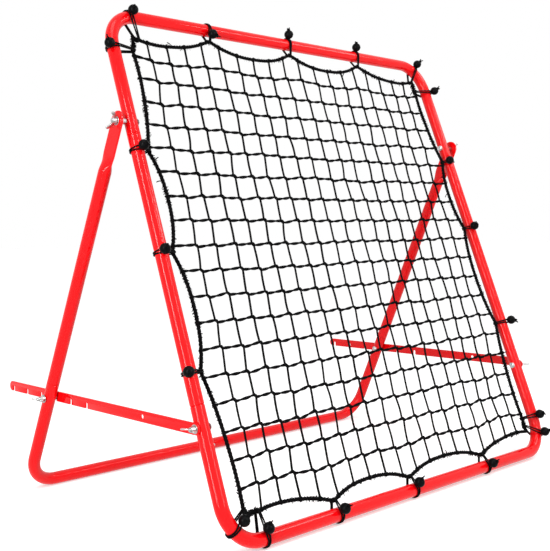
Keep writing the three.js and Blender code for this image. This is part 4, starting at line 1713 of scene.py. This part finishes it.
@dataclass(frozen=True)
class BorderRope:
    """A three-strand laid rope with fuzz and a few cut tails."""

    strand_radius: float = 0.0020
    lay_radius: float = 0.0018
    pitch: float = 0.021
    points_per_turn: int = 9
    fuzz: int = 1500
    fuzz_radius: float = 0.00015
    clumps: int = 170
    tufts_per_clump: int = 12
    clump_reach: float = 1.6
    tuft_radius: float = 0.00065
    tails: int = 14
    quick_fuzz: int = 120
    fuzz_length: tuple = (0.0018, 0.0042)
    tuft_length: tuple = (0.0008, 0.0034)
    tail_length: tuple = (0.006, 0.011)
    tail_radius: float = 0.0010
    fibre_steps: tuple = (0.0, 0.35, 0.7, 1.0)
    most_lean: float = 0.9
    droop: float = 0.4
    strand_sides: int = 8

    def strands(self, line: list[Vector]) -> list[bpy.types.Mesh]:
        """Three strands in a helix round the rope's line.

        Args:
            line: the rope's line.

        Returns:
            The three strands.
        """
        closed = line + line[:1]
        lengths = [0.0]
        for a, b in zip(closed, closed[1:]):
            lengths.append(lengths[-1] + (b - a).length)
        total = lengths[-1]
        turns = round(total / self.pitch)
        count = turns * self.points_per_turn
        at = np.arange(count) * total / count
        xs = np.interp(at, lengths, [p.x for p in closed])
        zs = np.interp(at, lengths, [p.y for p in closed])
        middle = np.stack([xs, zs], 1)
        tangent = np.roll(middle, -1, 0) - np.roll(middle, 1, 0)
        tangent /= np.linalg.norm(tangent, axis=1)[:, None]
        made = []
        for strand in range(3):
            phase = FULL_TURN * (np.arange(count) / self.points_per_turn + strand / 3)
            out = self.lay_radius * np.cos(phase)
            depth = self.lay_radius * np.sin(phase)
            points = [
                in_plane(Vector((xs[i] - tangent[i][1] * out[i], zs[i] + tangent[i][0] * out[i])), depth[i])
                for i in range(count)
            ]
            made.append(line_tube(points, self.strand_radius, self.strand_sides, cyclic=True))
        return made

    def fibre(
        self, rng: random.Random, line: list[Vector], at: float, length: float, radius: float, sides: int
    ) -> bpy.types.Mesh:
        """One loose fibre or tail that springs off the rope at a point of its line and droops.

        Args:
            rng: the source of chance.
            line: the rope's line.
            at: the point of the line, by its number.
            length: how far it reaches.
            radius: its thickness.
            sides: the points in a ring.

        Returns:
            The fibre.
        """
        i = int(at) % len(line)
        start = in_plane(line[i])
        ahead = in_plane(line[(i + 1) % len(line)]) - start
        around = rng.uniform(0, FULL_TURN)
        back = Vector((0, 1, 0))
        off = back * math.cos(around) + ahead.normalized().cross(back) * math.sin(around)
        lean = ahead.normalized() * rng.uniform(-self.most_lean, self.most_lean)
        droop = Vector((0, 0, -self.droop))
        root = start + off * (self.lay_radius + 0.6 * self.strand_radius)
        points = [root + (off + lean) * (length * s) + droop * (length * s * s) for s in self.fibre_steps]
        return line_tube(points, radius, sides)

    def build(self, layout: Layout, line: list[Vector], finishes: Finishes) -> bpy.types.Object:
        """Builds the rope.

        Args:
            layout: the local frames.
            line: the rope's line.
            finishes: the materials.

        Returns:
            The piece.
        """
        rng = random.Random(SEED)
        meshes = self.strands(line)
        for _ in range(self.fuzz):
            at = rng.uniform(0, len(line))
            meshes.append(self.fibre(rng, line, at, rng.uniform(*self.fuzz_length), self.fuzz_radius, 4))
        for _ in range(self.clumps):
            middle = rng.uniform(0, len(line))
            for _ in range(self.tufts_per_clump):
                at = rng.gauss(middle, self.clump_reach)
                length = rng.uniform(*self.tuft_length)
                meshes.append(self.fibre(rng, line, at, length, self.tuft_radius, 5))
        for _ in range(self.tails):
            at = rng.uniform(0, len(line))
            meshes.append(self.fibre(rng, line, at, rng.uniform(*self.tail_length), self.tail_radius, 6))
        return finish_piece("border_rope", gather(meshes), layout.front, finishes.rope)


@dataclass(frozen=True)
class Net:
    """Knotless square netting: at each crossing two twines run together for a short slant."""

    cells: int = 19
    pitch: float = 0.0476
    twine_radius: float = 0.0021
    ply_radius: float = 0.0017
    ply_offset: float = 0.0014
    ply_pitch: float = 0.052
    slant: float = 0.0022
    beside: float = 0.0014
    unevenness: float = 0.0011
    depth_unevenness: float = 0.0012
    relax_steps: int = 500
    points_per_cell: int = 9
    lashing_radius: float = 0.0038
    lashing_cord: float = 0.0011
    lashing_turns: float = 1.5
    lashing_rise: float = 2.4
    lashing_steps: int = 16
    sway: tuple = (0.0004, 0.0006)
    twine_sag: float = 0.0005
    sides: int = 6

    def border(self, line: list[Vector], axis: int, fixed: float, positive: bool) -> float:
        """Where the rope crosses a net line of fixed x (axis 0) or z (axis 1), on one side of the middle.

        Args:
            line: the rope's line.
            axis: 0 for a line of fixed x, 1 for one of fixed z.
            fixed: the value that stays.
            positive: whether it is the crossing past the middle.

        Returns:
            The other value where they cross.
        """
        other = 1 - axis
        found = []
        for a, b in zip(line, line[1:] + line[:1]):
            before, after = a[axis] - fixed, b[axis] - fixed
            if before * after <= 0 and before != after:
                share = before / (before - after)
                found.append(a[other] + (b[other] - a[other]) * share)
        return max(found) if positive else min(found)

    def nodes(self, line: list[Vector]) -> np.ndarray:
        """Places of all crossings and rope ends as an array of (column, row, x and z).

        Args:
            line: the rope's line.

        Returns:
            The array.
        """
        n = self.cells + 1
        steps = (np.arange(n) - self.cells / 2) * self.pitch
        grid = np.stack(np.meshgrid(steps, steps, indexing="ij"), -1)
        for k in range(1, n - 1):
            fixed = steps[k]
            grid[k, 0] = (fixed, self.border(line, 0, fixed, False))
            grid[k, -1] = (fixed, self.border(line, 0, fixed, True))
            grid[0, k] = (self.border(line, 1, fixed, False), fixed)
            grid[-1, k] = (self.border(line, 1, fixed, True), fixed)
        for _ in range(self.relax_steps):
            around = grid[:-2, 1:-1] + grid[2:, 1:-1] + grid[1:-1, :-2] + grid[1:-1, 2:]
            grid[1:-1, 1:-1] = around / 4
        return grid

    def twine(self, nodes: list[Vector], vertical: bool, rng: random.Random) -> list[Vector]:
        """The line of one twine through its crossings, from rope to rope.

        Args:
            nodes: its crossings in order.
            vertical: whether it runs upright.
            rng: the source of chance.

        Returns:
            The points of its line.
        """
        side = Vector((0, self.beside * (1 if vertical else -1), 0))
        points = [nodes[0]]
        for node in nodes[1:-1]:
            first, second = Vector((self.slant, 0, -self.slant)), Vector((-self.slant, 0, self.slant))
            if not vertical:
                first, second = second, first
            points += [node + first + side, node + second + side]
        points.append(nodes[-1])
        smooth = []
        for a, b in zip(points, points[1:]):
            smooth.append(a)
            if (b - a).length < self.pitch / 3:
                continue
            sway = Vector((rng.gauss(0, self.sway[0]), rng.gauss(0, self.sway[1]), -self.twine_sag))
            for step in range(1, self.points_per_cell):
                share = step / self.points_per_cell
                smooth.append(a.lerp(b, share) + sway * math.sin(math.pi * share))
        smooth.append(points[-1])
        return smooth

    def plies(self, line: list[Vector], rng: random.Random) -> list[bpy.types.Mesh]:
        """Two loosely twisted plies along a line across the net.

        Args:
            line: the line that they wind along.
            rng: the source of chance.

        Returns:
            The two plies.
        """
        start = rng.uniform(0, FULL_TURN)
        made = []
        for ply in (0, math.pi):
            run, points = 0.0, []
            for i, point in enumerate(line):
                run += (point - line[i - 1]).length if i else 0.0
                turn = start + ply + FULL_TURN * run / self.ply_pitch
                points.append(point + self.ply_offset * Vector((0, math.cos(turn), math.sin(turn))))
            made.append(line_tube(points, self.ply_radius, self.sides))
        return made

    def lashing(self, end: Vector, along_rope: Vector, rng: random.Random) -> bpy.types.Mesh:
        """A turn and a half of twine round the rope at a twine's end.

        Args:
            end: where the twine ends.
            along_rope: the rope's direction there.
            rng: the source of chance.

        Returns:
            The lashing.
        """
        radius = self.lashing_radius
        back = Vector((0, 1, 0))
        across = along_rope.cross(back)
        steps = self.lashing_steps
        start = rng.uniform(0, FULL_TURN)
        points = []
        for i in range(steps + 1):
            turn = start + self.lashing_turns * FULL_TURN * i / steps
            shift = along_rope * (self.lashing_cord * self.lashing_rise * (i / steps - 0.5))
            points.append(end + shift + radius * (math.cos(turn) * across + math.sin(turn) * back))
        return line_tube(points, self.lashing_cord, self.sides)

    def rope_direction(self, line: list[Vector], end: Vector) -> Vector:
        """The rope's direction nearest to a point.

        Args:
            line: the rope's line.
            end: the point.

        Returns:
            The direction, one long.
        """
        flat = Vector((end.x, end.z - RopeLine().half))
        i = min(range(len(line)), key=lambda k: (line[k] - flat).length_squared)
        return (in_plane(line[(i + 1) % len(line)]) - in_plane(line[i - 1])).normalized()

    def build(self, layout: Layout, line: list[Vector], finishes: Finishes) -> bpy.types.Object:
        """Builds the net.

        Args:
            layout: the local frames.
            line: the rope's line.
            finishes: the materials.

        Returns:
            The piece.
        """
        rng = random.Random(SEED + 1)
        grid = self.nodes(line)
        n = self.cells + 1
        spots = {}
        for i in range(n):
            for k in range(n):
                inner = 0 < i < n - 1 and 0 < k < n - 1
                wobble = Vector((rng.gauss(0, 1), rng.gauss(0, 1))) * (self.unevenness if inner else 0)
                depth = rng.gauss(0, self.depth_unevenness) if inner else 0.0
                spots[i, k] = in_plane(Vector(grid[i, k]) + wobble, depth)
        meshes = []
        for k in range(1, n - 1):
            for vertical in (True, False):
                nodes = [spots[k, row] if vertical else spots[row, k] for row in range(n)]
                path = self.twine(nodes, vertical, rng)
                if vertical:
                    meshes.append(line_tube(path, self.twine_radius, self.sides))
                else:
                    meshes += self.plies(path, rng)
                for end in (nodes[0], nodes[-1]):
                    meshes.append(self.lashing(end, self.rope_direction(line, end), rng))
        return finish_piece("net", gather(meshes), layout.front, finishes.twine)


@dataclass(frozen=True)
class BallTie:
    """An elastic loop round the tube and the rope, hooked over a ball."""

    cord_radius: float = 0.0015
    tube_line: float = 0.0139
    rope_line: float = 0.0049
    ball_radius: float = 0.010
    ball_reach: float = 0.0237
    bore: float = 0.0024
    spread_at_ball: float = 0.0038
    spread: float = 0.0018
    knot: float = 0.00095
    knot_rise: float = 1.1
    knot_steps: int = 40
    knot_gap: float = 0.0008
    tail_root: float = 0.001
    tail_length: float = 0.0045
    tail_curl: float = 0.001
    spread_reach: float = 0.8
    tube_steps: int = 22
    rope_steps: int = 8
    ball_steps: int = 24
    ball_sides: int = 40
    seam: float = 0.00018
    bore_ease: float = 0.0006
    bore_step: float = 0.0005
    tilt: float = 0.5
    sides: int = 8
    fine_sides: int = 6

    def belt(self, reach: float, ball_turn: float, sense: float) -> list[Vector]:
        """The line of one run of the cord: X into the frame, Y to the front, Z along the tube.

        Args:
            reach: from the tube's own line to the rope's.
            ball_turn: where the ball sits round the tube, in radians from the front.
            sense: 1 for one run of the cord, -1 for the other.

        Returns:
            The points of the line.
        """
        lean = math.acos((self.tube_line - self.rope_line) / reach)
        points = []
        towards = math.atan2(math.cos(ball_turn), math.sin(ball_turn))
        for i in range(self.tube_steps + 1):
            angle = lean + (FULL_TURN - 2 * lean) * i / self.tube_steps
            x, y = self.tube_line * math.cos(angle), self.tube_line * math.sin(angle)
            apart = math.atan2(math.sin(angle - towards), math.cos(angle - towards))
            near = math.exp(-((apart / self.spread_reach) ** 2))
            spread = self.spread + (self.spread_at_ball - self.spread) * near
            points.append(Vector((x, y, sense * spread)))
        for i in range(self.rope_steps + 1):
            angle = -lean + 2 * lean * i / self.rope_steps
            x, y = reach + self.rope_line * math.cos(angle), self.rope_line * math.sin(angle)
            points.append(Vector((x, y, sense * self.cord_radius * 1.05)))
        return points

    def ball(self) -> bmesh.types.BMesh:
        """A bead with a through bore along Z and a faint moulding seam.

        Returns:
            The closed mesh.
        """
        start = math.asin(self.bore / self.ball_radius)
        steps = self.ball_steps
        profile = []
        for i in range(steps + 1):
            angle = start + (math.pi - 2 * start) * i / steps
            radius = self.ball_radius + (self.seam if i == steps // 2 else 0.0)
            profile.append((radius * math.sin(angle), radius * math.cos(angle)))
        height = self.ball_radius * math.cos(start) - self.bore_ease
        profile += [(self.bore - self.bore_step, -height), (self.bore - self.bore_step, height)]
        return lathe(profile, self.ball_sides)

    def knot_line(self) -> list[Vector]:
        """An overhand knot as a closed line about its own middle.

        Returns:
            The points of the line.
        """
        points = []
        for i in range(self.knot_steps):
            t = FULL_TURN * i / self.knot_steps
            flat = (math.sin(t) + 2 * math.sin(2 * t), math.cos(t) - 2 * math.cos(2 * t))
            points.append(Vector((*flat, -self.knot_rise * math.sin(3 * t))) * self.knot)
        return points

    def tie(self, reach: float, ball_turn: float, rng: random.Random) -> bmesh.types.BMesh:
        """One tie, its cords with material 0 and its ball with material 1.

        Args:
            reach: from the tube's own line to the rope's.
            ball_turn: where the ball sits round the tube, in radians from the front.
            rng: the source of chance.

        Returns:
            The mesh.
        """
        belts = [self.belt(reach, ball_turn, sense) for sense in (-1, 1)]
        meshes = [line_tube(belt, self.cord_radius, self.sides, True) for belt in belts]
        out = Vector((math.sin(ball_turn), math.cos(ball_turn), 0))
        axis = (out + Vector((0, 0, rng.uniform(-self.tilt, self.tilt)))).normalized()
        seat = Matrix.Translation(out * self.ball_reach) @ axis.to_track_quat("Z", "X").to_matrix().to_4x4()
        knot = line_tube(self.knot_line(), self.cord_radius, self.fine_sides, True)
        knot.transform(seat @ Matrix.Translation((0, 0, self.ball_radius + self.knot_gap)))
        meshes.append(knot)
        tip = seat @ Vector((0, 0, self.ball_radius + self.tail_root))
        for sense in (-1, 1):
            away = axis + Vector((rng.uniform(-0.6, 0.6), rng.uniform(-0.3, 0.3), sense * 0.7))
            tail = [
                tip + away * (self.tail_length * s) + Vector((0, 0, self.tail_curl * s * s * sense))
                for s in (0, 0.5, 1)
            ]
            meshes.append(line_tube(tail, 0.9 * self.cord_radius, self.fine_sides))
        bm = gather(meshes)
        cords = len(bm.faces)
        ball = self.ball()
        ball.transform(seat)
        merge(ball, bm)
        bm.faces.ensure_lookup_table()
        for face in bm.faces[cords:]:
            face.material_index = 1
        return bm

    def build(self, layout: Layout, line: list[Vector], finishes: Finishes) -> list[bpy.types.Object]:
        """Builds the twenty ties, each with its cord and its ball.

        Args:
            layout: the local frames.
            line: the rope's line.
            finishes: the materials.

        Returns:
            The pieces.
        """
        rng = random.Random(SEED + 2)
        rope = RopeLine()
        front = Vector((0, -1, 0))
        made = []
        for side in SIDES:
            for i, (along, ball_turn) in enumerate(zip(side.along, side.ball_turn), start=1):
                place = rope.tie_place(side, along)
                into = Vector((place.inward.x, 0, place.inward.y))
                basis = Matrix((into, front, into.cross(front))).transposed().to_4x4()
                where = layout.front @ Matrix.Translation(in_plane(place.centre)) @ basis
                bm = self.tie(rope.reach(line, place), math.radians(ball_turn), rng)
                obj = finish_piece(f"ball_tie_{side.name}_{i}", bm, where, finishes.elastic)
                obj.data.materials.append(finishes.ball)
                made.append(obj)
        return made


# --- Studio ---------------------------------------------------------------------------------------


@dataclass(frozen=True)
class StripLamp:
    """A long soft box: its middle, its width and height in metres and its power in watts."""

    name: str
    at: tuple
    size: tuple
    power: float


@dataclass(frozen=True)
class Studio:
    """The floor, the backdrop, the lights and the camera."""

    floor_size: float = 60.0
    floor_drop: float = 0.0008
    floor_grey: float = 0.93
    overhead_strength: float = 1.0
    overhead_angle: float = 40.0
    overhead_from: tuple = (-0.2, -0.3, 1.0)
    strips: tuple = (
        StripLamp("LeftLamp", (-2.36, -0.73, 1.0), (0.40, 1.9), 38),
        StripLamp("FrontLamp", (0.18, -2.04, 1.5), (0.28, 1.8), 20),
        StripLamp("RightLamp", (1.3, -1.2, 1.6), (0.8, 0.22), 5),
    )
    lamps_face: tuple = (-0.2, -0.15, 0.5)
    ambient: float = 0.38
    floor_glow: float = 0.40
    camera_at: tuple = (-1.4779, -1.39667, 0.52244)
    camera_turn: tuple = (90.82105, 0.86248, -40.95216)
    lens: float = 59.4368
    shift: tuple = (0.13556, -0.10179)

    def floor(self) -> None:
        """A pale floor that keeps a faint shadow."""
        bm = bmesh.new()
        bmesh.ops.create_grid(bm, x_segments=1, y_segments=1, size=self.floor_size / 2)
        obj = link_mesh("Floor", bm)
        obj.location.z = -self.floor_drop
        material, shader, principled = new_material("FloorWhite")
        path = shader.node("ShaderNodeLightPath")
        seen = shader.spread(path.outputs["Is Camera Ray"], 0.0, self.floor_glow)
        sockets = {
            "Base Color": (self.floor_grey, self.floor_grey, self.floor_grey, 1),
            "Roughness": 1.0,
            "Specular IOR Level": 0.0,
            "Emission Color": WHITE,
            "Emission Strength": seen,
        }
        for socket, value in sockets.items():
            shader.feed(principled, socket, value)
        glow = shader.node("ShaderNodeEmission", Color=WHITE, Strength=1.0)
        mixed = shader.node("ShaderNodeMixShader", Fac=path.outputs["Is Glossy Ray"])
        shader.tree.links.new(principled.outputs["BSDF"], mixed.inputs[1])
        shader.tree.links.new(glow.outputs["Emission"], mixed.inputs[2])
        output = material.node_tree.nodes["Material Output"]
        shader.tree.links.new(mixed.outputs["Shader"], output.inputs["Surface"])
        obj.data.materials.append(material)

    def world(self) -> None:
        """A white surround, pure white to the camera and in reflections."""
        world = bpy.data.worlds.new("Surround")
        bpy.context.scene.world = world
        world.use_nodes = True
        shader = Shader(world.node_tree)
        path = shader.node("ShaderNodeLightPath")
        seen = shader.math("MAXIMUM", path.outputs["Is Camera Ray"], path.outputs["Is Glossy Ray"])
        seen = shader.math("MAXIMUM", seen, path.outputs["Is Transmission Ray"])
        background = world.node_tree.nodes["Background"]
        shader.feed(background, "Color", WHITE)
        shader.feed(background, "Strength", shader.spread(seen, self.ambient, 1.0))

    def strip_lamp(self, strip: StripLamp) -> None:
        """Hangs a long soft box that faces the net frame.

        Args:
            strip: the lamp's sizes.
        """
        lamp = bpy.data.lights.new(strip.name, "AREA")
        lamp.shape = "RECTANGLE"
        lamp.size, lamp.size_y = strip.size
        lamp.energy = strip.power
        self.place_lamp(lamp, Vector(strip.at), Vector(strip.at) - Vector(self.lamps_face))

    def overhead(self) -> None:
        """A broad distant lamp that lights the whole floor."""
        lamp = bpy.data.lights.new("TopLamp", "SUN")
        lamp.energy = self.overhead_strength
        lamp.angle = math.radians(self.overhead_angle)
        self.place_lamp(lamp, Vector(), Vector(self.overhead_from))

    def place_lamp(self, lamp: bpy.types.Light, at: Vector, back: Vector) -> None:
        """Puts a lamp in the scene as stage.

        Args:
            lamp: the lamp.
            at: where it stands.
            back: the direction that its back is turned to.
        """
        obj = bpy.data.objects.new(lamp.name, lamp)
        obj.location = at
        obj.rotation_euler = back.to_track_quat("Z", "Y").to_euler()
        bpy.context.scene.collection.objects.link(obj)

    def camera(self) -> None:
        """The camera."""
        data = bpy.data.cameras.new("Camera")
        data.lens = self.lens
        data.shift_x, data.shift_y = self.shift
        obj = bpy.data.objects.new("Camera", data)
        obj.location = self.camera_at
        obj.rotation_euler = [math.radians(value) for value in self.camera_turn]
        bpy.context.scene.collection.objects.link(obj)
        bpy.context.scene.camera = obj

    def build(self) -> None:
        """Builds the studio."""
        self.floor()
        self.world()
        for strip in self.strips:
            self.strip_lamp(strip)
        self.overhead()
        self.camera()
        bpy.context.scene.view_settings.view_transform = "Standard"


def main() -> None:
    """Builds the rebounder and its studio."""
    logging.basicConfig(level=logging.INFO, format="%(message)s")
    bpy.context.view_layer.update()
    layout = Layout()
    finishes = Finishes.make()
    line = RopeLine().line()
    FrontFrame().build(layout, finishes)
    RearStand().build(layout, finishes)
    Brace().build(layout, finishes)
    Fasteners().build(layout, finishes)
    SnapButton().build(layout, finishes)
    BorderRope().build(layout, line, finishes)
    Net().build(layout, line, finishes)
    BallTie().build(layout, line, finishes)
    Studio().build()


if __name__ == "__main__":
    main()
